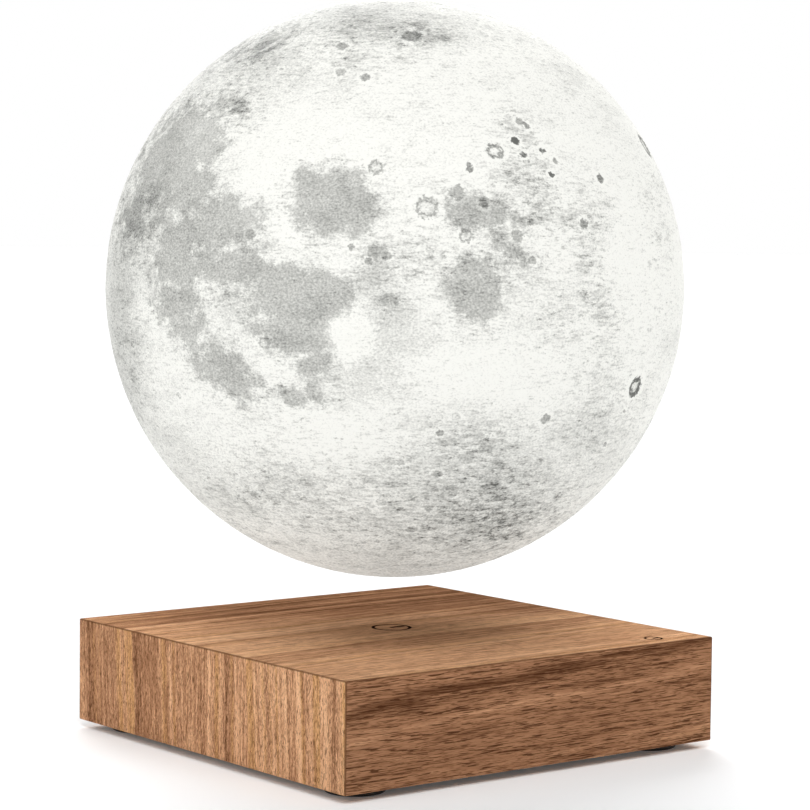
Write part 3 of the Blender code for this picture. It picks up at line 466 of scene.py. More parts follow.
def new_group(name, vectors, numbers, results):
    """A shader node group, the sockets that come into it, and the node that takes its results."""
    group = bpy.data.node_groups.new(name, "ShaderNodeTree")
    sockets = [(label, "INPUT", "NodeSocketVector") for label in vectors]
    sockets += [(label, "INPUT", "NodeSocketFloat") for label in numbers]
    sockets += [(label, "OUTPUT", "NodeSocketFloat") for label in results]
    for label, side, kind in sockets:
        group.interface.new_socket(name=label, in_out=side, socket_type=kind)
    start = group.nodes.new("NodeGroupInput").outputs
    end = group.nodes.new("NodeGroupOutput")
    return group, start, end


def use_group(tree, group, inputs):
    return add_node(tree, "ShaderNodeGroup", inputs, node_tree=group).outputs


def axes(vector):
    """The vector's X, Y and Z."""
    return add_node(vector.id_data, "ShaderNodeSeparateXYZ", {"Vector": vector}).outputs


def offset_from(place, middle):
    inputs = {0: place, 1: middle}
    return add_node(place.id_data, "ShaderNodeVectorMath", inputs, operation="SUBTRACT").outputs[0]


def from_axis(parts):
    """Distance from the Z axis."""
    square = maths("MULTIPLY", parts["X"], parts["X"])
    return maths("SQRT", scaled(parts["Y"], parts["Y"], square))


def banded(way, scale, detail=2.0, roughness=0.5):
    """Noise that changes along one way only."""
    inputs = {"W": way, "Scale": scale, "Detail": detail, "Roughness": roughness}
    return add_node(way.id_data, "ShaderNodeTexNoise", inputs, noise_dimensions="1D").outputs["Fac"]


def build_grain_group():
    """Walnut grain that runs along X: a tone about 0.5, 1 in the pores, and 1 in the golden bands."""
    group, start, end = new_group("walnut_grain", ["Vector"], ["Shortness"], ["Tone", "Pores", "Gold"])
    place = start["Vector"]
    parts = axes(place)
    slope = swing(grainy(place, *WANDER_NOISE), RING_WANDER)
    slope = scaled(parts["Z"], RING_LEAN, slope)
    slope = scaled(parts["X"], RING_SLANT, slope)
    ring = maths("ADD", parts["Y"], slope)
    along = maths("MULTIPLY", parts["X"], start["Shortness"])
    inputs = {"X": along, "Y": parts["Y"], "Z": parts["Z"]}
    shortened = add_node(group, "ShaderNodeCombineXYZ", inputs).outputs[0]

    bands = banded(ring, *BAND_NOISE)
    swings = (
        (bands, BAND_SWING),
        (banded(ring, *BROAD_NOISE), BROAD_SWING),
        (grainy(shortened, *FIBRE_NOISE), FIBRE_SWING),
        (grainy(shortened, *STREAK_NOISE), STREAK_SWING),
        (grainy(place, *CLOUD_NOISE), CLOUD_SWING))
    tone = 0.5
    for value, amount in swings:
        tone = maths("ADD", swing(value, amount), tone)

    crowding = swing(bands, PORE_CROWDING)
    pores = 0.0
    for scales, begin, full, depth in PORE_KINDS:
        crowded = maths("ADD", grainy(shortened, scales, 1.0), crowding)
        kind = maths("MULTIPLY", step_between(crowded, begin, full), depth)
        pores = maths("MAXIMUM", kind, pores)
    gold = step_between(banded(ring, *GOLD_NOISE), *GOLD_EDGE)
    feed(end, {"Tone": tone, "Pores": pores, "Gold": gold})
    return group


def build_mark_group():
    """1 on a ring and on the bar inside it, round the given middle."""
    group, start, end = new_group("charred_mark", ["Vector", "Middle"], ["Radius", "Line", "Bar"], ["Mask"])
    parts = axes(offset_from(start["Vector"], start["Middle"]))
    off_ring = maths("SUBTRACT", from_axis(parts), start["Radius"])
    off_ring = maths("ABSOLUTE", off_ring)
    half_bar = maths("MULTIPLY", start["Bar"], 0.5)
    from_middle = maths("ABSOLUTE", maths("SUBTRACT", parts["X"], half_bar))
    past_end = maths("SUBTRACT", from_middle, half_bar)
    beside = maths("MULTIPLY", maths("ABSOLUTE", parts["Y"]), BAR_SPREAD)
    nearest = maths("MINIMUM", off_ring, maths("MAXIMUM", beside, past_end))
    outer = scaled(start["Line"], 0.5, SCORCH)
    mask = step_between(maths("SUBTRACT", outer, nearest), 0.0, SCORCH)
    near_top = step_between(parts["Z"], *CHAR_BOTTOM)
    feed(end, {"Mask": maths("MULTIPLY", mask, near_top)})
    return group


def near_edge(place):
    """1 along the block's upper and upright edges, where the colour is made darker."""
    faces = 0.0
    for part, reach in zip(axes(place), WOOD_HIGH):
        away = maths("ABSOLUTE", part)
        near = step_between(away, reach - EDGE_WIDTH, reach - EDGE_CORE * EDGE_WIDTH)
        faces = maths("ADD", near, faces)
    return maths("SUBTRACT", faces, 1.0, clamp=True)


def by_face(on_end, on_front, top, end, front):
    """One value for the top, another for the ends, and a third for the front and back."""
    return scaled(on_front, front - top, scaled(on_end, end - top, top))


# A band across the top that is part heartwood and part painted shadow of the moon
def heartwood_and_painted_shadow(place, parts, on_end):
    drift = swing(grainy(place, HEART_SHADOW_SCALES), HEART_SHADOW_DRIFT)
    across = maths("ADD", scaled(parts["X"], HEART_SHADOW_SLANT, parts["Y"]), drift)
    across = step_between(across, *HEART_SHADOW_EDGE)
    return maths("MULTIPLY", across, scaled(on_end, HEART_SHADOW_ON_END - 1, 1.0))


def oiled_walnut():
    finish, tree, shader = new_finish("oiled_walnut", OIL_ROUGHNESS)
    grain_group = build_grain_group()
    mark_group = build_mark_group()
    place = object_place(tree)
    parts = axes(place)
    inputs = {"X": parts["Z"], "Y": parts["Y"], "Z": parts["X"]}
    upright = add_node(tree, "ShaderNodeCombineXYZ", inputs).outputs[0]
    facing = axes(add_node(tree, "ShaderNodeTexCoord").outputs["Normal"])
    on_end = step_between(maths("ABSOLUTE", facing["X"]), *FACE_TURN)
    on_front = step_between(maths("ABSOLUTE", facing["Y"]), *FACE_TURN)

    long_grain = use_group(tree, grain_group, {"Vector": place, "Shortness": 1.0})
    end_grain = use_group(tree, grain_group, {"Vector": upright, "Shortness": END_SHORTNESS})
    tone, pores, gold = (
        add_node(tree, "ShaderNodeMix", {0: on_end, 2: long_grain[part], 3: end_grain[part]}).outputs[0]
        for part in ("Tone", "Pores", "Gold"))
    pore_depth = by_face(on_end, on_front, TOP_PORES, END_PORES, FRONT_PORES)
    pores = maths("MULTIPLY", pores, pore_depth)
    gold = maths("MULTIPLY", gold, scaled(on_end, 1 - TOP_GOLD, TOP_GOLD))

    contrast = by_face(on_end, on_front, TOP_CONTRAST, END_CONTRAST, FRONT_CONTRAST)
    # Painted shade: the front and back get a far lower level than the top
    level = by_face(on_end, on_front, TOP_LEVEL, END_LEVEL, FRONT_SHADED_LEVEL)
    # The heartwood band also darkens the top as a painted shadow of the moon
    level = scaled(heartwood_and_painted_shadow(place, parts, on_end), -HEART_SHADOW_SHADE, level)
    level = scaled(maths("MULTIPLY", on_end, parts["Y"]), -END_FADE, level)
    tone = scaled(maths("SUBTRACT", tone, 0.5), contrast, level)

    low_half = blend(step_between(tone, *DARK_TO_MIDDLE), GRAIN_DARK, GRAIN_MIDDLE)
    lightest = blend(gold, GRAIN_LIGHT, GRAIN_GOLD)
    lightest = blend(step_between(tone, *LIGHT_TO_PALE), lightest, GRAIN_PALE)
    colour = blend(step_between(tone, *MIDDLE_TO_LIGHT), low_half, lightest)
    colour = blend(pores, colour, PORE_BROWN)
    darkened_edge = maths("MULTIPLY", near_edge(place), EDGE_DARKENING)
    colour = blend(darkened_edge, colour, EDGE_BROWN)
    charred = 0.0
    for _, middle, radius, line, bar in MARKS:
        inputs = {"Vector": place, "Middle": middle, "Radius": radius, "Line": line, "Bar": bar}
        mask = use_group(tree, mark_group, inputs)["Mask"]
        charred = maths("MAXIMUM", mask, charred)

    roughness = scaled(pores, PORE_ROUGHER, OIL_ROUGHNESS)
    feed(shader, {
        "Base Color": blend(charred, colour, CHAR_BROWN),
        "Roughness": scaled(charred, CHAR_ROUGHER, roughness),
        "Specular IOR Level": OIL_SHEEN})
    height = maths("SUBTRACT", maths("MULTIPLY", tone, GRAIN_RISE), pores)
    add_bump(shader, height, GRAIN_DEPTH)
    return finish


WALNUT_BLOCK.data.materials.clear()
WALNUT_BLOCK.data.materials.append(oiled_walnut())
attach(WALNUT_BLOCK, "base")
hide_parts("wood_body")


# Rubber feet: round feet of dark rubber, moulded with a rounded lower edge and a shallow dish
# in the middle. They are pressed under the corners, over the heads of the cover's screws.

FOOT_EDGE = 0.0008
FOOT_DISH = 0.0003
FOOT_DISH_SHARE = 0.6
FOOT_EDGE_STEPS = 6
FOOT_STEPS = 64
RUBBER_BROWN = (0.016, 0.012, 0.010)
RUBBER_BLOOM = (0.045, 0.038, 0.034)
RUBBER_ROUGHNESS = 0.62
RUBBER_DEPTH = 0.00004
BLOOM_NOISE = (260.0, 4.0)
BLOOM_EDGE = (0.45, 0.8)
BLOOM_ROUGHER = 0.2
MOULD_SCALE = 3200.0


def spun(outline, steps):
    """Turn (radius, height) points round the Z axis into a closed solid."""
    shape = bmesh.new()
    points = [shape.verts.new((radius, 0, height)) for radius, height in outline]
    for first, second in zip(points, points[1:]):
        shape.edges.new((first, second))
    bmesh.ops.spin(
        shape, geom=shape.verts[:] + shape.edges[:], cent=(0, 0, 0), axis=(0, 0, 1),
        angle=math.tau, steps=steps, use_merge=True)
    bmesh.ops.remove_doubles(shape, verts=shape.verts[:], dist=0.000001)
    bmesh.ops.recalc_face_normals(shape, faces=shape.faces[:])
    return shape


def arc(middle, radius, first, last, steps):
    """(radius, height) points on an arc, with its angles in degrees from level."""
    points = []
    for step in range(steps + 1):
        angle = math.radians(first + (last - first) * step / steps)
        points.append((middle[0] + radius * math.cos(angle), middle[1] + radius * math.sin(angle)))
    return points


def soft_rubber():
    finish, tree, shader = new_finish("soft_rubber", RUBBER_ROUGHNESS)
    place = object_place(tree)
    bloom = grainy(place, *BLOOM_NOISE)
    feed(shader, {
        "Base Color": blend(step_between(bloom, *BLOOM_EDGE), RUBBER_BROWN, RUBBER_BLOOM),
        "Roughness": scaled(bloom, BLOOM_ROUGHER, RUBBER_ROUGHNESS)})
    add_bump(shader, grainy(place, MOULD_SCALE), RUBBER_DEPTH)
    return finish


def build_feet():
    rubber = soft_rubber()
    for name in ("foot_front_left", "foot_front_right", "foot_back_right", "foot_back_left"):
        low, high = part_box(name)
        radius = (high.x - low.x) / 2
        dish = FOOT_DISH_SHARE * radius
        outline = [(0, high.z), (radius, high.z)]
        outline += arc((radius - FOOT_EDGE, low.z + FOOT_EDGE), FOOT_EDGE, 0, -90, FOOT_EDGE_STEPS)
        outline += [(dish + FOOT_DISH, low.z), (dish, low.z + FOOT_DISH), (0, low.z + FOOT_DISH)]
        shape = spun(outline, FOOT_STEPS)
        middle = (low + high) / 2
        bmesh.ops.translate(shape, vec=(middle.x, middle.y, 0), verts=shape.verts[:])
        foot = new_object(f"rubber_{name}", shape, SMOOTH_ANGLE)
        foot.data.materials.append(rubber)
        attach(foot, "base")
        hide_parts(name)


build_feet()


# Moon globe: a thin white shell, printed in fine level layers, with the maria a little lower
# than the highlands. It has a round opening below with a collar, which the cup is glued into.

CUP_LOW, CUP_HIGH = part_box("bottom_cup")
MOON_RADIUS = 0.090
PRINT_RADIUS = 0.08970
SHELL_WALL = 0.0018
COLLAR_WALL = 0.0025
CUP_GAP = 0.0001
MARE_DROP = 0.00042
HIGHLAND_SWELL = 0.00010
SHORE_RAGGED = 0.5
SHORE_SLOPE = (-0.25, 0.25)
CRATER_DEPTH_SHARE = 0.09
CRATER_DEPTH_MOST = 0.00030
RIM_PLACE = 1.1
RIM_WIDTH = 0.2
RIM_HEIGHT = 0.35
OUTER_STEPS = 230
INNER_STEPS = 12
ROUND_STEPS = 400
SEAM_STEPS = 2

MOON_MIDDLE = Vector((0, 0, CUP_LOW.z + MOON_RADIUS))
OPENING_RADIUS = CUP_HIGH.x + CUP_GAP

# The moon as the camera sees it: across and up on its disc, as shares of its radius
TOWARDS_CAMERA = (CAMERA_PLACE - MOON_MIDDLE).normalized()
DISC_ACROSS = CAMERA_UP.cross(TOWARDS_CAMERA).normalized()
DISC_UP = TOWARDS_CAMERA.cross(DISC_ACROSS)
VIEW_SHARE = (CAMERA_PLACE - MOON_MIDDLE).length / PRINT_RADIUS
DISC_SCALE = math.sqrt(VIEW_SHARE ** 2 - 1)

# Across, up, half width and half height on the disc, turn in degrees, and how solid it is
MARE_SHARES = (
    (-0.47, 0.83, 0.13, 0.035, 18, 0.8), (-0.74, 0.48, 0.19, 0.1, 47, 1),
    (-0.74, 0.32, 0.12, 0.12, 0, 1), (-0.66, 0.23, 0.19, 0.1, 0, 1), (-0.76, 0.09, 0.09, 0.1, 0, 1),
    (-0.57, 0.07, 0.17, 0.08, -10, 1), (-0.33, -0.02, 0.19, 0.11, -12, 1),
    (-0.33, -0.14, 0.165, 0.095, 0, 1), (-0.75, -0.04, 0.075, 0.07, 0, 1),
    (-0.72, -0.13, 0.05, 0.06, 0, 1), (-0.59, -0.28, 0.115, 0.07, -50, 1),
    (-0.9, 0.24, 0.05, 0.11, -8, 0.9), (-0.53, 0.63, 0.09, 0.05, -10, 0.7),
    (-0.21, 0.3, 0.155, 0.12, 0, 1), (-0.32, -0.36, 0.07, 0.045, 0, 0.9),
    (-0.27, -0.25, 0.08, 0.08, 0, 0.75), (0.29, 0.26, 0.14, 0.06, -8, 1),
    (0.39, 0.14, 0.11, 0.06, -35, 0.8), (0.28, 0, 0.105, 0.115, 0, 1),
    (-0.06, 0.13, 0.06, 0.045, 0, 0.8), (-0.02, -0.04, 0.09, 0.05, 0, 0.5),
    (0.065, 0.873, 0.065, 0.024, 0, 1))

# Bright islands and fresh craters that lie in the maria, in the same way
ISLAND_SHARES = (
    (-0.59, -0.05, 0.08, 0.06, 10, 1), (-0.166, -0.16, 0.055, 0.052, 0, 1.3),
    (-0.84, 0.26, 0.025, 0.02, 0, 0.9), (-0.75, 0.27, 0.02, 0.012, 0, 0.5),
    (-0.66, 0.15, 0.02, 0.014, 0, 0.5), (-0.62, -0.1, 0.05, 0.03, 0, 0.7))

# Broad print tones, with painted shade along the left and upper limb and low on the moon, where a positive
# last number is darker
TONE_AND_SHADE_SHARES = (
    (0.24, -0.72, 0.42, 0.22, 0, 0.27), (-0.41, -0.72, 0.4, 0.18, 0, 0.2),
    (0, -0.95, 0.45, 0.1, 0, 0.16), (-0.95, -0.1, 0.1, 0.45, 0, 0.42),
    (-0.82, -0.55, 0.12, 0.28, 40, 0.2), (-0.7, 0.72, 0.1, 0.34, -45, 0.34),
    (-0.05, 0.96, 0.45, 0.09, 0, 0.28), (0.6, 0.74, 0.28, 0.1, -38, 0.1),
    (0.7, -0.52, 0.17, 0.21, 40, 0.12), (0.02, -0.2, 0.2, 0.16, 0, 0.08),
    (-0.166, -0.16, 0.07, 0.065, 0, -0.8), (-0.22, -0.48, 0.26, 0.1, 0, -0.1),
    (-0.41, 0.48, 0.26, 0.12, 0, -0.1), (-0.45, 0.28, 0.08, 0.16, 20, -0.12),
    (0.34, -0.29, 0.24, 0.09, 0, -0.12), (0.86, 0.05, 0.08, 0.2, 0, -0.14),
    (-0.45, 0.8, 0.14, 0.09, 0, 0.26), (-0.18, 0.92, 0.16, 0.07, 0, 0.22),
    (-0.7, 0.56, 0.07, 0.08, 0, -0.16), (-0.83, 0.3, 0.07, 0.07, 0, 0.14),
    (-0.7, 0.18, 0.07, 0.06, 0, 0.1), (-0.07, 0.3, 0.06, 0.05, 0, 0.12),
    (-0.07, 0.05, 0.07, 0.06, 0, 0.4), (0.19, 0.05, 0.06, 0.05, 0, -0.1),
    (-0.86, -0.08, 0.06, 0.07, 0, -0.2), (-0.57, -0.07, 0.06, 0.06, 0, 0.28),
    (-0.03, -0.1, 0.1, 0.08, 0, 0.26), (-0.12, -0.33, 0.12, 0.09, 0, 0.22),
    (-0.57, 0.42, 0.08, 0.07, 0, 0.14), (-0.44, 0.17, 0.06, 0.06, 0, 0.12),
    (-0.44, 0.68, 0.08, 0.07, 0, 0.12), (0.12, 0.86, 0.16, 0.05, 0, 0.12),
    (0.44, 0.04, 0.06, 0.16, 0, 0.1), (-0.21, -0.59, 0.2, 0.08, 0, -0.2),
    (-0.15, -0.72, 0.27, 0.07, 0, -0.18), (0.69, -0.46, 0.07, 0.07, 0, 0.12),
    (0.44, -0.58, 0.07, 0.07, 0, 0.1), (0.95, -0.2, 0.06, 0.1, 0, 0.12), (0, -0.97, 0.2, 0.05, 0, 0.1))

# Rough ground strewn with small dark craters, where the last number is how thickly
STREWN_SHARES = (
    (0.48, 0.34, 0.21, 0.1, -50, 1), (0.67, 0.18, 0.06, 0.17, 0, 0.8), (0.72, -0.08, 0.07, 0.13, 20, 1),
    (0.55, -0.11, 0.07, 0.1, 0, 0.8), (0.43, 0.55, 0.1, 0.05, -30, 0.8),
    (-0.14, 0.79, 0.18, 0.1, 0, 0.7), (0, 0.88, 0.42, 0.09, 0, 0.5), (-0.5, 0.74, 0.2, 0.1, 25, 0.5),
    (-0.53, 0.6, 0.11, 0.1, 0, 0.8), (0.04, 0.09, 0.17, 0.12, 0, 0.8),
    (-0.06, 0.42, 0.09, 0.05, 0, 0.7), (0.3, 0.18, 0.2, 0.24, 0, 0.5), (0.1, -0.72, 0.5, 0.22, 0, 0.8),
    (0.3, -0.52, 0.18, 0.1, 0, 0.7), (0.38, -0.81, 0.25, 0.12, 20, 0.8),
    (-0.45, -0.7, 0.32, 0.2, 0, 0.5), (-0.43, -0.36, 0.13, 0.12, 0, 0.7),
    (0.72, -0.4, 0.18, 0.22, 30, 0.6), (0.9, 0.25, 0.07, 0.4, 0, 0.6), (-0.9, -0.2, 0.07, 0.4, 0, 0.5))

# Single craters: across, up and radius on the disc, how dark, and 1 for a ring or 0 for a spot
CRATER_SHARES = (
    (0.414, 0.511, 0.017, 0.85, 0), (0.345, 0.475, 0.033, 0.6, 1), (0.443, 0.463, 0.015, 0.7, 0),
    (0.509, 0.477, 0.014, 0.7, 0), (0.257, 0.429, 0.014, 0.6, 0), (0.257, 0.412, 0.014, 0.6, 0),
    (0.553, 0.442, 0.014, 0.5, 0), (0.541, 0.394, 0.014, 0.75, 0), (0.708, 0.381, 0.019, 0.65, 0),
    (0.215, 0.332, 0.031, 0.45, 0), (0.309, 0.3, 0.022, 0.55, 0), (0.109, 0.281, 0.041, 0.5, 1),
    (0.247, 0.184, 0.026, 0.5, 1), (0.423, 0.184, 0.024, 0.45, 0), (0.653, 0.222, 0.021, 0.6, 0),
    (0.476, 0.098, 0.017, 0.45, 0), (0.06, 0.872, 0.04, 0.62, 0), (-0.18, 0.835, 0.024, 0.5, 0),
    (-0.187, 0.746, 0.021, 0.4, 0), (-0.102, 0.728, 0.021, 0.5, 0), (-0.157, 0.904, 0.014, 0.4, 0),
    (-0.39, 0.756, 0.01, 0.45, 0), (-0.066, 0.418, 0.028, 0.5, 1), (-0.151, 0.145, 0.014, 0.5, 0),
    (-0.091, 0.095, 0.014, 0.5, 0), (-0.029, 0.112, 0.017, 0.4, 0), (-0.452, -0.188, 0.024, 0.4, 1),
    (-0.747, -0.37, 0.014, 0.4, 1), (-0.5, 0.191, 0.021, 0.4, 0), (0.832, -0.338, 0.04, 0.9, 0.8),
    (0.862, 0.494, 0.052, 0.7, 0.6), (0.522, -0.448, 0.021, 0.5, 0), (0.796, -0.422, 0.012, 0.5, 0),
    (0.728, -0.539, 0.014, 0.5, 0), (0.156, -0.5, 0.015, 0.5, 0), (0.211, -0.442, 0.017, 0.3, 1),
    (0.319, -0.546, 0.031, 0.35, 0), (0.247, -0.584, 0.028, 0.35, 0), (0.146, -0.642, 0.019, 0.45, 0),
    (0.4, -0.66, 0.022, 0.45, 1), (0.2, -0.71, 0.02, 0.4, 1), (-0.05, -0.74, 0.018, 0.4, 1),
    (0.02, -0.6, 0.016, 0.4, 0), (0.5, -0.6, 0.02, 0.4, 1), (0.116, -0.759, 0.019, 0.45, 0),
    (0.316, -0.795, 0.017, 0.45, 1), (0.058, -0.834, 0.021, 0.45, 0), (0.374, -0.801, 0.028, 0.3, 0),
    (0.429, 0.577, 0.017, 0.5, 0), (0.454, 0.56, 0.014, 0.6, 0))

# The far side, seen from behind: it has few maria, and a dark basin low down
FAR_MARE_SHARES = (
    (-0.42, 0.4, 0.13, 0.08, 25, 1), (-0.34, 0.32, 0.08, 0.06, 0, 0.8),
    (0.34, -0.3, 0.1, 0.08, -30, 0.9), (0.44, -0.4, 0.07, 0.09, 10, 0.7),
    (0.66, 0.26, 0.07, 0.11, 10, 0.8), (-0.66, -0.34, 0.07, 0.09, 0, 0.8),
    (0.05, 0.72, 0.11, 0.04, 0, 0.7), (-0.16, -0.12, 0.06, 0.045, 0, 0.7),
    (-0.05, -0.62, 0.2, 0.07, 8, 0.7), (-0.84, -0.12, 0.05, 0.1, 10, 0.8),
    (-0.8, -0.02, 0.05, 0.06, 0, 0.7), (0.86, -0.12, 0.04, 0.09, -8, 0.8))
# Broad far-side tones; the first, over the whole far side, is painted shade that offsets the strong light
# from behind
FAR_TONE_AND_SHADE_SHARES = (
    (0, 0, 1.4, 1.4, 0, 0.12), (0.3, 0.45, 0.4, 0.24, 20, 0.1), (-0.4, -0.3, 0.45, 0.26, -20, 0.12),
    (0, -0.66, 0.55, 0.28, 0, 0.26), (-0.6, 0.5, 0.26, 0.3, 0, 0.1), (0.15, 0.05, 0.22, 0.16, 0, -0.1),
    (-0.92, 0.1, 0.1, 0.34, 0, 0.14), (-0.86, -0.4, 0.1, 0.2, -25, 0.12),
    (0.93, 0, 0.09, 0.34, 0, 0.12))
FAR_STREWN_SHARES = (
    (0.15, 0.2, 0.45, 0.34, 0, 0.7), (-0.35, -0.5, 0.4, 0.3, 0, 0.8), (0.6, -0.1, 0.26, 0.36, 0, 0.6),
    (-0.4, 0.45, 0.34, 0.24, 0, 0.6))
FAR_CRATER_SHARES = (
    (0.1, 0.38, 0.045, 0.6, 1), (-0.2, 0.55, 0.03, 0.55, 1), (0.42, 0.52, 0.024, 0.6, 0),
    (0.28, 0.14, 0.034, 0.55, 1), (-0.05, 0.1, 0.018, 0.6, 0), (-0.55, 0.08, 0.04, 0.5, 1),
    (-0.4, -0.2, 0.022, 0.65, 0), (0.08, -0.24, 0.038, 0.55, 1), (0.58, -0.18, 0.026, 0.6, 0),
    (0.2, -0.52, 0.03, 0.5, 1), (-0.3, -0.7, 0.024, 0.6, 0), (0.7, -0.5, 0.034, 0.55, 1),
    (-0.78, 0.36, 0.026, 0.6, 0), (0.8, 0.12, 0.03, 0.55, 1), (-0.93, 0.2, 0.03, 0.5, 1),
    (-0.88, -0.28, 0.02, 0.6, 0), (-0.97, -0.08, 0.024, 0.5, 1), (-0.85, 0.42, 0.02, 0.55, 0),
    (-0.95, 0.02, 0.014, 0.6, 0), (0.93, -0.18, 0.028, 0.5, 1), (0.9, 0.36, 0.02, 0.6, 0),
    (0.96, 0.1, 0.026, 0.5, 1), (0.84, -0.46, 0.022, 0.6, 0))
SHORE_SHARE = 0.1
ISLAND_SHORE = 0.05
LIMB_DEPTH = -0.12
LIMB_FADE = 0.10
TONE_LIMB = (-0.55, 0.08)
CRATER_REACH = 2.0
SWELL_NOISE = (7, 6)
SHORE_NOISE = (12, 5)


def disc_places(directions):
    """Where the camera sees each direction from the moon's middle, and how near it is."""
    depth = directions @ numpy.array(TOWARDS_CAMERA)
    across = directions @ numpy.array(DISC_ACROSS)
    up = directions @ numpy.array(DISC_UP)
    scale = numpy.where(depth > 0, DISC_SCALE / (VIEW_SHARE - depth), 1)
    return across * scale, up * scale, depth


def disc_direction(across, up):
    """The direction from the moon's middle that the camera sees at a place on the disc."""
    spread = (across ** 2 + up ** 2) / DISC_SCALE ** 2 + 1
    reach = (VIEW_SHARE - math.sqrt(max(VIEW_SHARE ** 2 - spread * DISC_SCALE ** 2, 0))) / spread
    side = reach / DISC_SCALE
    point = side * across * DISC_ACROSS + side * up * DISC_UP + (VIEW_SHARE - reach) * TOWARDS_CAMERA
    return point.normalized()


def patch_distance(across, up, patch):
    """0 in the middle of a patch and 1 at its edge."""
    turn = math.radians(patch[4])
    aside = across - patch[0]
    above = up - patch[1]
    along = aside * math.cos(turn) + above * math.sin(turn)
    over = above * math.cos(turn) - aside * math.sin(turn)
    return numpy.hypot(along / patch[2], over / patch[3])


def mare_field(across, up, patches, islands):
    """Above zero in the maria, and 1 at a tenth of the radius inside their shores."""
    field = numpy.full(len(across), -1.0)
    for patch in patches:
        inside = (1 - patch_distance(across, up, patch)) * min(patch[2], patch[3]) / SHORE_SHARE
        field = numpy.maximum(field, inside - (1 - patch[5]))
    for patch in islands:
        outside = (patch_distance(across, up, patch) - 1) * min(patch[2], patch[3]) / SHORE_SHARE
        field = numpy.minimum(field, outside * patch[5] + ISLAND_SHORE)
    return field


def soft_sum(across, up, patches):
    return sum(patch[5] * numpy.exp(-patch_distance(across, up, patch) ** 2) for patch in patches)


def moon_fields(directions):
    """Mare, tone and strewn fields, the tone with painted shade in it; the near and far sides meet a little
    beyond the limb.
    """
    across, up, depth = disc_places(directions)
    fade = numpy.clip(numpy.abs(depth - LIMB_DEPTH) / LIMB_FADE, 0, 1)
    near_mare = mare_field(across, up, MARE_SHARES, ISLAND_SHARES)
    far_mare = mare_field(-across, up, FAR_MARE_SHARES, ())
    mare = fade * (numpy.where(depth > LIMB_DEPTH, near_mare, far_mare) + 1) - 1

    near = smooth_share(depth, *TONE_LIMB)
    tone = near * soft_sum(across, up, TONE_AND_SHADE_SHARES) + (1 - near) * soft_sum(-across, up, FAR_TONE_AND_SHADE_SHARES)
    strewn = near * soft_sum(across, up, STREWN_SHARES)
    strewn += (1 - near) * soft_sum(-across, up, FAR_STREWN_SHARES)
    return mare, tone, strewn


def crater_fields(directions):
    """Each place's distance from the nearest crater in its radii, with its darkness and ring."""
    away = numpy.full(len(directions), CRATER_REACH)
    darkness = numpy.zeros(len(directions))
    ring = numpy.zeros(len(directions))
    depth = numpy.zeros(len(directions))
    craters = [(disc_direction(*crater[:2]), crater) for crater in CRATER_SHARES]
    for crater in FAR_CRATER_SHARES:
        mirrored = disc_direction(-crater[0], crater[1])
        craters.append((mirrored.reflect(TOWARDS_CAMERA), crater))
    for centre, (_, _, radius, dark, ringed) in craters:
        distance = numpy.linalg.norm(directions - numpy.array(centre), axis=1) / radius
        nearest = distance < away
        away[nearest] = distance[nearest]
        darkness[nearest] = dark
        ring[nearest] = ringed
        depth[nearest] = min(CRATER_DEPTH_SHARE * radius * PRINT_RADIUS, CRATER_DEPTH_MOST)
    bowl = numpy.clip(1 - away ** 2, 0, 1)
    rim = numpy.exp(-((away - RIM_PLACE) / RIM_WIDTH) ** 2)
    return away, darkness, ring, depth * (RIM_HEIGHT * rim - bowl)


def rolling(directions, scale, octaves):
    """Rolling ground, about zero on average."""
    return numpy.array([noise.fractal(Vector(way) * scale, 0.9, 2.1, octaves) for way in directions])


def smooth_share(values, low, high):
    """Rise smoothly from 0 at low to 1 at high."""
    share = numpy.clip((values - low) / (high - low), 0, 1)
    return share ** 2 * (3 - 2 * share)


def shape_ground(piece, least_radius):
    """Press the relief into the skin past the least radius, and store its fields for the finish."""
    mesh = piece.data
    places = numpy.empty(len(mesh.vertices) * 3)
    mesh.vertices.foreach_get("co", places)
    offsets = places.reshape(-1, 3) - numpy.array(MOON_MIDDLE)
    reach = numpy.linalg.norm(offsets, axis=1)
    directions = offsets / reach[:, None]

    mare, tone, strewn = moon_fields(directions)
    away, darkness, ring, bowls = crater_fields(directions)
    swell = HIGHLAND_SWELL * numpy.clip(rolling(directions, *SWELL_NOISE), -1, 1)
    ragged = mare + SHORE_RAGGED * rolling(directions, *SHORE_NOISE)
    ground = swell - MARE_DROP * smooth_share(ragged, *SHORE_SLOPE) + bowls
    reach = numpy.where(reach > least_radius, reach + ground, reach)
    places = numpy.array(MOON_MIDDLE) + directions * reach[:, None]
    mesh.vertices.foreach_set("co", places.ravel())

    fields = {
        "mare": mare, "tone": tone, "strewn": strewn,
        "crater_away": away, "crater_dark": darkness, "crater_ring": ring}
    for name, values in fields.items():
        mesh.attributes.new(name, "FLOAT", "POINT").data.foreach_set("value", values)
    mesh.update()


def build_moon_globe():
    """One outline runs down the outer skin, up the collar and back along the inner skin."""
    middle = (0, MOON_MIDDLE.z)
    low_angle = -math.degrees(math.acos(OPENING_RADIUS / PRINT_RADIUS))
    outline = arc(middle, PRINT_RADIUS, 90, low_angle, OUTER_STEPS)
    rim = outline[-1][1]
    for step in range(1, SEAM_STEPS):
        outline.append((OPENING_RADIUS, rim + (CUP_HIGH.z - rim) * step / SEAM_STEPS))
    outline.append((OPENING_RADIUS, CUP_HIGH.z))
    inner = PRINT_RADIUS - SHELL_WALL
    outside = OPENING_RADIUS + COLLAR_WALL
    outline.append((outside, CUP_HIGH.z))
    inner_angle = -math.degrees(math.acos(outside / inner))
    outline += arc(middle, inner, inner_angle, 90, INNER_STEPS)
    outline[0] = (0, outline[0][1])
    outline[-1] = (0, outline[-1][1])
    shape = spun(outline, ROUND_STEPS)
    globe = new_object("moon_globe", shape, SMOOTH_ANGLE)
    shape_ground(globe, PRINT_RADIUS - SHELL_WALL / 4)
    return globe


MOON_GLOBE = build_moon_globe()
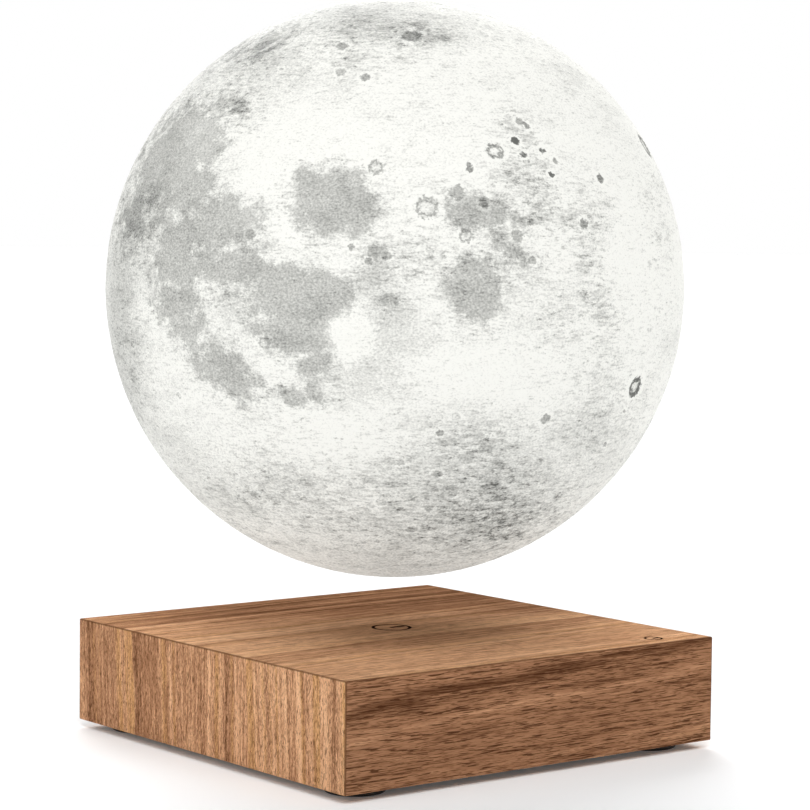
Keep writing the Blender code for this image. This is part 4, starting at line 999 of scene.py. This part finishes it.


# Moon globe, its finish: matt white print with a painted glow, seen only directly and lighting nothing,
# that evens out its shading; thick and dark ground looks grey. Fine level layers, ragged shores and
# small craters break up its surface.

PRINT_WHITE = (0.982, 0.982, 0.934)
PRINT_GREY = (0.135, 0.138, 0.128)
PRINT_ROUGHNESS = 0.72
PRINT_SHEEN = 0.3
PRINT_DEPTH = 0.00035
PRINT_BUMP = 0.7
LAYER_RISE = 0.8
SPECK_RISE = -0.5
# Only this share of the print's colour reflects light; a painted glow that only the camera, mirrors and
# glass see gives the rest and evens out the moon's shading
SKIN_SHARE = 0.30
PAINTED_GLOW_STRENGTH = 0.66

# Scales, detail and roughness of the marks on the print
SHORE_MARKS = (150.0, 8.0, 0.76)
CLOUD_MARKS = ((60, 60, 130), 8.0, 0.7)
MOTTLE_MARKS = ((120, 120, 300), 8.0, 0.68)
LAYER_MARKS = ((330, 330, 1300), 3.0, 0.6)
SPECK_MARKS = ((430, 430, 800), 4.0, 0.62)
GRAIN_MARKS = ((1500, 1500, 2000), 1.0)

# Where each of them begins and is full; the last three are past the limit that rough ground lowers
SHORE_SWING = 2.6
MARE_EDGE = (-0.27, 0.20)
CLOUD_EDGE = (0.42, 0.66)
MOTTLE_EDGE = (-0.04, 0.16)
DASH_EDGE = (-0.06, 0.12)
SPECK_EDGE = (0.06, 0.14)
PLAIN_LIMIT = 0.60
STREWN_LIMIT = -0.13
MARE_LIMIT = 0.04
BESIDE_SHORE = (-0.95, -0.10)
SHORE_STREWN = 0.65

# How much each darkens the print
MARE_SHADE = 0.52
CLOUD_SHADE = 0.14
MOTTLE_SHADE = 0.22
DASH_SHADE = 0.25
SPECK_SHADE = 0.30
GRAIN_SHADE = 0.85
CRATER_SHADE = 0.35
# A painted highlight on crater rims: this negative shade lightens the print
PAINTED_RIM_LIGHT = -0.30
LEAST_SHADE = 0.04

# Where a crater's dark spot, bright core and painted rim highlight end, in its radii
CRATER_MARKS = 900.0
CRATER_RAGGED = 1.1
SPOT_EDGE = (0.70, 1.10)
CORE_EDGE = (0.35, 0.70)
RIM_LIGHT_EDGE = (1.15, 1.65)


def attribute(tree, name):
    return add_node(tree, "ShaderNodeAttribute", attribute_name=name).outputs["Fac"]


def inside(value, low, high):
    """Fall smoothly from 1 at low to 0 at high."""
    return maths("SUBTRACT", 1.0, step_between(value, low, high))


def past_limit(marks, limit, edge):
    return step_between(maths("SUBTRACT", marks, limit), *edge)


def crater_shade(tree, place):
    """Darkness of the single craters, as spots or as rings, and a painted highlight on their rims."""
    ragged = swing(grainy(place, CRATER_MARKS), CRATER_RAGGED)
    away = maths("ADD", attribute(tree, "crater_away"), ragged)
    spot = inside(away, *SPOT_EDGE)
    core = maths("MULTIPLY", attribute(tree, "crater_ring"), inside(away, *CORE_EDGE))
    rim = maths("SUBTRACT", inside(away, *RIM_LIGHT_EDGE), spot, clamp=True)
    depth = attribute(tree, "crater_dark")
    shade = maths("MULTIPLY", maths("SUBTRACT", spot, core), depth)
    return shade, maths("MULTIPLY", rim, depth)


def printed_moon():
    finish, tree, shader = new_finish("printed_moon", PRINT_ROUGHNESS)
    place = object_place(tree)
    shore = swing(grainy(place, *SHORE_MARKS), SHORE_SWING)
    mare = step_between(maths("ADD", attribute(tree, "mare"), shore), *MARE_EDGE)
    by_shore = step_between(attribute(tree, "mare"), *BESIDE_SHORE)
    by_shore = maths("MULTIPLY", by_shore, scaled(mare, -SHORE_STREWN, SHORE_STREWN))
    strewn = maths("MAXIMUM", attribute(tree, "strewn"), by_shore)

    limit = scaled(strewn, STREWN_LIMIT, PLAIN_LIMIT)
    limit = scaled(mare, MARE_LIMIT, limit)
    layers = grainy(place, *LAYER_MARKS)
    clouds = step_between(grainy(place, *CLOUD_MARKS), *CLOUD_EDGE)
    mottle = past_limit(grainy(place, *MOTTLE_MARKS), limit, MOTTLE_EDGE)
    dashes = past_limit(layers, limit, DASH_EDGE)
    specks = past_limit(grainy(place, *SPECK_MARKS), limit, SPECK_EDGE)
    grain = swing(grainy(place, *GRAIN_MARKS), GRAIN_SHADE)

    shades = (
        (mare, MARE_SHADE), (clouds, CLOUD_SHADE), (mottle, MOTTLE_SHADE),
        (dashes, DASH_SHADE), (specks, SPECK_SHADE))
    # The tone field carries painted shade along the left and upper limb and low on the moon, besides the
    # print's own tones
    dark = attribute(tree, "tone")
    for value, amount in shades:
        dark = scaled(value, amount, dark)
    shade, rim = crater_shade(tree, place)
    dark = scaled(shade, CRATER_SHADE, maths("MAXIMUM", dark, shade))
    # Each crater's rim gets a painted highlight, for a look of raised relief
    dark = maths("ADD", scaled(rim, PAINTED_RIM_LIGHT, dark), grain)
    dark = maths("SUBTRACT", dark, LEAST_SHADE, clamp=True)
    colour = blend(dark, PRINT_WHITE, PRINT_GREY)
    # The emission is a painted glow, seen only directly, that lights nothing
    feed(shader, {
        "Base Color": stretched(colour, (SKIN_SHARE,) * 3),
        "Specular IOR Level": PRINT_SHEEN,
        "Emission Color": stretched(colour, seen_directly(tree)),
        "Emission Strength": PAINTED_GLOW_STRENGTH})
    height = scaled(specks, SPECK_RISE, maths("MULTIPLY", layers, LAYER_RISE))
    add_bump(shader, height, PRINT_DEPTH, PRINT_BUMP)
    return finish


MOON_FINISH = printed_moon()
MOON_GLOBE.data.materials.append(MOON_FINISH)
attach(MOON_GLOBE, "moon")
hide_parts("moon_shell")


# Moon cup: the printed plug that closes the moon below. It goes on the moon's curve, holds the
# magnet in its middle and the coil in a groove, and takes the three screws of the light board.

GROOVE_WIDTH = 0.0052
CUP_STEPS = 40
PILOT_RADIUS = 0.0012
PILOT_SIDES = 24
NO_RELIEF = 2 * PRINT_RADIUS


def under_side(radius):
    """Height of the moon's underside at a distance from its axis."""
    return MOON_MIDDLE.z - math.sqrt(PRINT_RADIUS ** 2 - radius ** 2)


def build_moon_cup():
    cup = CUP_HIGH.x
    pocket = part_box("float_magnet")[1].x + FIT_GAP
    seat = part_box("float_magnet")[0].z - FIT_GAP
    coil_low, coil_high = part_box("receiver_coil")
    groove_outer = coil_high.x + FIT_GAP
    groove_inner = groove_outer - GROOVE_WIDTH
    floor = coil_low.z - FIT_GAP
    step_top = CUP_HIGH.z - FIT_GAP
    outline = [
        (0, seat), (pocket, seat), (pocket, step_top), (groove_inner, step_top),
        (groove_inner, floor), (groove_outer, floor), (groove_outer, CUP_HIGH.z), (cup, CUP_HIGH.z)]
    for step in range(CUP_STEPS + 1):
        radius = cup * (1 - step / CUP_STEPS)
        outline.append((radius, under_side(radius)))
    shape = spun(outline, ROUND_STEPS)
    piece = new_object("moon_cup", shape, SMOOTH_ANGLE)
    pilots = []
    for name in ("led_board_screw_1", "led_board_screw_2", "led_board_screw_3"):
        low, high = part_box(name)
        middle = (low + high) / 2
        start = (middle.x, middle.y, low.z - FIT_GAP)
        end = (middle.x, middle.y, CUP_HIGH.z + OVERCUT)
        pilots.append(rod_tool(f"{name}_pilot", PILOT_RADIUS, start, end, PILOT_SIDES))
    carve(piece, pilots)
    piece.data.shade_smooth()
    piece.data.set_sharp_from_angle(angle=SMOOTH_ANGLE)
    shape_ground(piece, NO_RELIEF)
    return piece


MOON_CUP = build_moon_cup()
MOON_CUP.data.materials.clear()
MOON_CUP.data.materials.append(MOON_FINISH)
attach(MOON_CUP, "moon")
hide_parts("bottom_cup")


# Bottom cover and its screws: a flat black cover, moulded with a fine even texture, held by
# four blackened steel screws under the feet.

WEAR_EDGE = (0.38, 0.72)
WEAR_GLOSS = 0.25


def build_wear_group():
    """Broad patches and a fine grain, both about 0.5, for moulded and plated parts."""
    scales = ["Patch Scale", "Grain Scale"]
    group, start, end = new_group("surface_wear", ["Vector"], scales, ["Patches", "Grain"])
    feed(end, {
        "Patches": grainy(start["Vector"], start["Patch Scale"], 4.0, 0.55),
        "Grain": grainy(start["Vector"], start["Grain Scale"])})
    return group


SURFACE_WEAR = build_wear_group()


def worn_finish(name, colour, worn_colour, roughness, scales, bump_depth, metallic=0.0):
    """A finish that varies a little in colour and gloss, over a fine grain."""
    finish, tree, shader = new_finish(name, roughness, metallic)
    inputs = {"Vector": object_place(tree), "Patch Scale": scales[0], "Grain Scale": scales[1]}
    wear = use_group(tree, SURFACE_WEAR, inputs)
    patches = step_between(wear["Patches"], *WEAR_EDGE)
    feed(shader, {
        "Base Color": blend(patches, colour, worn_colour),
        "Roughness": maths("ADD", swing(wear["Patches"], WEAR_GLOSS), roughness)})
    add_bump(shader, wear["Grain"], bump_depth)
    return finish


def coat(finish, *names):
    """Give carried-over CAD nodes a finish."""
    for name in names:
        NODES[name].data.materials.clear()
        NODES[name].data.materials.append(finish)


COVER_BLACK = worn_finish(
    "cover_black", (0.018, 0.018, 0.019), (0.050, 0.049, 0.047), 0.55, (70.0, 2600.0), 0.00006)
BLACK_OXIDE = worn_finish(
    "black_oxide", (0.05, 0.05, 0.055), (0.12, 0.11, 0.10), 0.36, (420.0, 5200.0), 0.00001, 1.0)
coat(COVER_BLACK, "bottom_cover")
coat(BLACK_OXIDE, "cover_screw_1", "cover_screw_2", "cover_screw_3", "cover_screw_4")


# Power inlet: a black nylon jack behind the round hole at the back, with a nickel pin and
# contact, held to the wood by two small steel screws.

NYLON_BLACK = worn_finish(
    "inlet_nylon", (0.012, 0.012, 0.013), (0.030, 0.030, 0.032), 0.42, (240.0, 3600.0), 0.00003)
NICKEL = worn_finish(
    "bright_nickel", (0.62, 0.59, 0.53), (0.48, 0.45, 0.40), 0.22, (300.0, 4200.0), 0.00001, 1.0)
ZINC = worn_finish(
    "zinc_steel", (0.52, 0.53, 0.54), (0.38, 0.38, 0.37), 0.34, (260.0, 3800.0), 0.00001, 1.0)
coat(NYLON_BLACK, "inlet_body")
coat(NICKEL, "inlet_pin", "inlet_contact")
coat(ZINC, "inlet_screw_1", "inlet_screw_2")


# Circuit boards: glass boards with a green or white solder mask, raised copper tracks under
# it and tinned pads. They are cut from sheet and screwed or held in place.

TRACK_STEPS = 5.0
TRACK_EDGE = (0.16, 0.22)
PADS_PER_TRACK = 2.3
PAD_SCATTER = 0.45
PAD_EDGE = (0.13, 0.17)
TINNED = (0.62, 0.60, 0.55)
BOARD_FLAT = (1, 1, 0.02)


def build_tracks_group():
    """Tracks that step round each other in right angles, and round pads among them."""
    group, start, end = new_group("board_tracks", ["Vector"], ["Scale"], ["Tracks", "Pads"])
    inputs = {"Vector": start["Vector"], "Scale": start["Scale"]}
    square = add_node(group, "ShaderNodeTexVoronoi", inputs, distance="CHEBYCHEV").outputs["Distance"]
    phase = maths("FRACT", maths("MULTIPLY", square, TRACK_STEPS))
    gap = maths("ABSOLUTE", maths("SUBTRACT", phase, 0.5))
    dots = maths("MULTIPLY", start["Scale"], PADS_PER_TRACK)
    inputs = {"Vector": start["Vector"], "Scale": dots, "Randomness": PAD_SCATTER}
    spots = add_node(group, "ShaderNodeTexVoronoi", inputs).outputs["Distance"]
    feed(end, {
        "Tracks": step_between(gap, *TRACK_EDGE),
        "Pads": inside(spots, *PAD_EDGE)})
    return group


BOARD_TRACKS = build_tracks_group()


def board_finish(name, mask, mask_over_copper, scale):
    finish, tree, shader = new_finish(name, 0.35)
    place = object_place(tree)
    flat = stretched(place, BOARD_FLAT)
    pattern = use_group(tree, BOARD_TRACKS, {"Vector": flat, "Scale": scale})
    weave = grainy(place, 1800.0)
    colour = blend(pattern["Tracks"], mask, mask_over_copper)
    colour = blend(swing(weave, 0.10), colour, WHITE)
    feed(shader, {
        "Base Color": blend(pattern["Pads"], colour, TINNED),
        "Metallic": pattern["Pads"],
        "Roughness": scaled(weave, 0.12, 0.28)})
    add_bump(shader, scaled(pattern["Pads"], 1.5, pattern["Tracks"]), 0.00004, 0.6)
    return finish


GREEN_BOARD = board_finish("green_board", (0.010, 0.090, 0.035), (0.020, 0.160, 0.060), 170.0)
WHITE_BOARD = board_finish("white_board", (0.70, 0.71, 0.69), (0.80, 0.81, 0.80), 120.0)
coat(GREEN_BOARD, "module_board", "hall_board", "touch_board")
coat(WHITE_BOARD, "led_board")
coat(ZINC, "module_screw_1", "module_screw_2", "module_screw_3", "module_screw_4")
coat(ZINC, "led_board_screw_1", "led_board_screw_2", "led_board_screw_3")


# Magnets and yoke: a sintered ring of grey ferrite on a zinc-plated steel plate, and in the
# moon a nickel-plated disc magnet with a steel plate glued on top. All are ground flat.

FERRITE_DARK = (0.032, 0.032, 0.036)
FERRITE_GREY = (0.075, 0.074, 0.078)
GRINDING_NOISE = (3800.0, 3.0)


def build_grinding_group():
    """Fine rings round the Z axis, as a ground or turned face has them."""
    group, start, end = new_group("ground_rings", ["Vector"], [], ["Rings"])
    away = from_axis(axes(start["Vector"]))
    feed(end, {"Rings": banded(away, *GRINDING_NOISE)})
    return group


GROUND_RINGS = build_grinding_group()


def ground_finish(name, colour, worn_colour, roughness, metallic):
    finish, tree, shader = new_finish(name, roughness, metallic)
    place = object_place(tree)
    rings = use_group(tree, GROUND_RINGS, {"Vector": place})["Rings"]
    wear = use_group(tree, SURFACE_WEAR, {"Vector": place, "Patch Scale": 160.0, "Grain Scale": 3000.0})
    patches = step_between(wear["Patches"], 0.35, 0.75)
    share = maths("ADD", swing(rings, 0.6), patches, clamp=True)
    feed(shader, {
        "Base Color": blend(share, colour, worn_colour),
        "Roughness": scaled(rings, 0.25, roughness - 0.1)})
    add_bump(shader, scaled(wear["Grain"], 0.4, rings), 0.00002)
    return finish


FERRITE = ground_finish("sintered_ferrite", FERRITE_DARK, FERRITE_GREY, 0.55, 0.0)
GROUND_STEEL = ground_finish("ground_steel", (0.50, 0.50, 0.49), (0.36, 0.36, 0.35), 0.36, 1.0)
PLATED_MAGNET = ground_finish("plated_magnet", (0.66, 0.64, 0.60), (0.58, 0.56, 0.52), 0.20, 1.0)
coat(FERRITE, "ring_magnet", "power_coil_sheet", "receiver_sheet")
coat(GROUND_STEEL, "pole_yoke", "float_back_plate")
coat(PLATED_MAGNET, "float_magnet")


# Coils: enamelled copper wire wound turn beside turn, in upright windings on nylon bobbins
# that steer the moon, and in flat coils that send and take up its power.

TURN_PITCH = 0.00042
TURN_WANDER = 0.00008
ENAMEL_COPPER = (0.62, 0.235, 0.075)
ENAMEL_SHADE = (0.200, 0.060, 0.018)
ENAMEL_COAT = 0.4


def build_turns_group():
    """1 on the crown of each turn and 0 between them, for a way across the turns."""
    group, start, end = new_group("wire_turns", [], ["Way"], ["Turns"])
    phase = maths("FRACT", maths("DIVIDE", start["Way"], TURN_PITCH))
    off_crown = maths("MULTIPLY", maths("SUBTRACT", phase, 0.5), 2.0)
    square = maths("MULTIPLY", off_crown, off_crown)
    crown = maths("SQRT", maths("SUBTRACT", 1.0, square, clamp=True))
    feed(end, {"Turns": crown})
    return group


WIRE_TURNS = build_turns_group()


def wound_finish(name, flat):
    finish, tree, shader = new_finish(name, 0.30, 0.85)
    place = object_place(tree)
    parts = axes(place)
    way = from_axis(parts) if flat else parts["Z"]
    way = maths("ADD", way, swing(grainy(place, 300.0), TURN_WANDER))
    turns = use_group(tree, WIRE_TURNS, {"Way": way})["Turns"]
    tarnish = grainy(place, 350.0, 3.0)
    colour = blend(turns, ENAMEL_SHADE, ENAMEL_COPPER)
    feed(shader, {
        "Base Color": blend(step_between(tarnish, 0.5, 0.9), colour, ENAMEL_SHADE),
        "Roughness": scaled(tarnish, 0.3, 0.16),
        "Coat Weight": ENAMEL_COAT})
    add_bump(shader, turns, 0.00012, 0.8)
    return finish


WOUND_UPRIGHT = wound_finish("wound_upright", False)
WOUND_FLAT = wound_finish("wound_flat", True)
BOBBIN_NYLON = worn_finish(
    "bobbin_nylon", (0.030, 0.030, 0.031), (0.055, 0.055, 0.055), 0.46, (200.0, 3400.0), 0.00003)
coat(WOUND_UPRIGHT, "coil_winding_1", "coil_winding_2", "coil_winding_3", "coil_winding_4")
coat(WOUND_FLAT, "power_coil", "receiver_coil", "receiver_lead")
coat(BOBBIN_NYLON, "coil_bobbin_1", "coil_bobbin_2", "coil_bobbin_3", "coil_bobbin_4", "module_top_plate")


# Board parts: chips moulded in dark epoxy, chokes of ferrite, capacitors in printed blue
# sleeves with a bare aluminium top, and a white plug socket.

SLEEVE_BLUE = (0.012, 0.040, 0.190)
SLEEVE_STRIPE = (0.50, 0.53, 0.58)
CAN_ALUMINIUM = (0.72, 0.72, 0.72)

# In radii of the can: the edge of its bare top and of its stripe. The scores' lines are in metres.
TOP_EDGE = (0.76, 0.80)
STRIPE_EDGE = (0.70, 0.74)
SCORE_EDGE = (0.00010, 0.00025)


def sleeved_can(name, node):
    """A blue sleeve with a pale stripe down one side, and a bare scored top."""
    low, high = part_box(node)
    middle = (low + high) / 2
    radius = (high.x - low.x) / 2
    finish, tree, shader = new_finish(name, 0.32)
    place = object_place(tree)
    parts = axes(offset_from(place, middle))
    bare = inside(from_axis(parts), TOP_EDGE[0] * radius, TOP_EDGE[1] * radius)
    stripe = step_between(parts["Y"], STRIPE_EDGE[0] * radius, STRIPE_EDGE[1] * radius)
    off_cross = (maths("ABSOLUTE", parts["X"]), maths("ABSOLUTE", parts["Y"]))
    scored = inside(maths("MINIMUM", *off_cross), *SCORE_EDGE)
    crinkle = grainy(place, 1500.0)
    colour = blend(stripe, SLEEVE_BLUE, SLEEVE_STRIPE)
    feed(shader, {
        "Base Color": blend(bare, colour, CAN_ALUMINIUM),
        "Metallic": bare,
        "Roughness": scaled(crinkle, 0.2, 0.24)})
    height = scaled(maths("MULTIPLY", scored, bare), -2.0, crinkle)
    add_bump(shader, height, 0.00005)
    return finish


CHIP_EPOXY = worn_finish(
    "chip_epoxy", (0.016, 0.016, 0.017), (0.034, 0.033, 0.032), 0.60, (500.0, 6500.0), 0.00002)
SOCKET_WHITE = worn_finish(
    "socket_white", (0.74, 0.73, 0.68), (0.66, 0.64, 0.58), 0.44, (260.0, 3400.0), 0.00003)
coat(sleeved_can("filter_can", "filter_capacitor"), "filter_capacitor")
coat(sleeved_can("moon_can", "moon_capacitor"), "moon_capacitor")
coat(CHIP_EPOXY, "controller_chip", "hall_sensor", "rectifier_chip")
coat(FERRITE, "module_choke", "moon_choke")
coat(SOCKET_WHITE, "power_connector")


# Leads and touch sensor: tinned wire in soft PVC sleeves from the inlet, and a pad of brass
# foil under its mark, joined to the small touch board by a thin lead.

RED_SLEEVE = worn_finish(
    "red_sleeve", (0.420, 0.012, 0.010), (0.300, 0.010, 0.010), 0.38, (320.0, 3000.0), 0.00003)
BLACK_SLEEVE = worn_finish(
    "black_sleeve", (0.012, 0.012, 0.012), (0.026, 0.026, 0.027), 0.38, (320.0, 3000.0), 0.00003)
BRASS_FOIL = worn_finish(
    "brass_foil", (0.66, 0.44, 0.16), (0.45, 0.28, 0.10), 0.30, (500.0, 4000.0), 0.00001, 1.0)
coat(RED_SLEEVE, "lead_red")
coat(BLACK_SLEEVE, "lead_black", "touch_lead")
coat(BRASS_FOIL, "touch_pad")


# Ring of lights: a band of yellow phosphor over eight light chips on the white board, cast
# in soft silicone. It glows through the print.

LIGHT_COUNT = 8
CHIP_EDGE = (0.45, 0.85)
PHOSPHOR = (0.86, 0.62, 0.10)
PHOSPHOR_DEEP = (0.70, 0.42, 0.04)
PHOSPHOR_FLECK = (1.0, 0.85, 0.45)
PHOSPHOR_GLOW = 0.6


def phosphor_band():
    finish, tree, shader = new_finish("phosphor_band", 0.40)
    place = object_place(tree)
    parts = axes(place)
    angle = maths("ARCTAN2", parts["Y"], parts["X"])
    beat = maths("COSINE", maths("MULTIPLY", angle, float(LIGHT_COUNT)))
    over_chip = step_between(beat, *CHIP_EDGE)
    flecks = grainy(place, 2600.0)
    fleck_swing = swing(flecks, 0.3)
    colour = blend(over_chip, PHOSPHOR_DEEP, PHOSPHOR)
    colour = blend(fleck_swing, colour, PHOSPHOR_FLECK)
    feed(shader, {
        "Base Color": colour,
        "Roughness": scaled(flecks, 0.2, 0.3),
        "Emission Color": colour,
        "Emission Strength": PHOSPHOR_GLOW})
    add_bump(shader, maths("ADD", over_chip, fleck_swing), 0.00015, 0.6)
    return finish


coat(phosphor_band(), "led_ring")


bpy.context.view_layer.update()
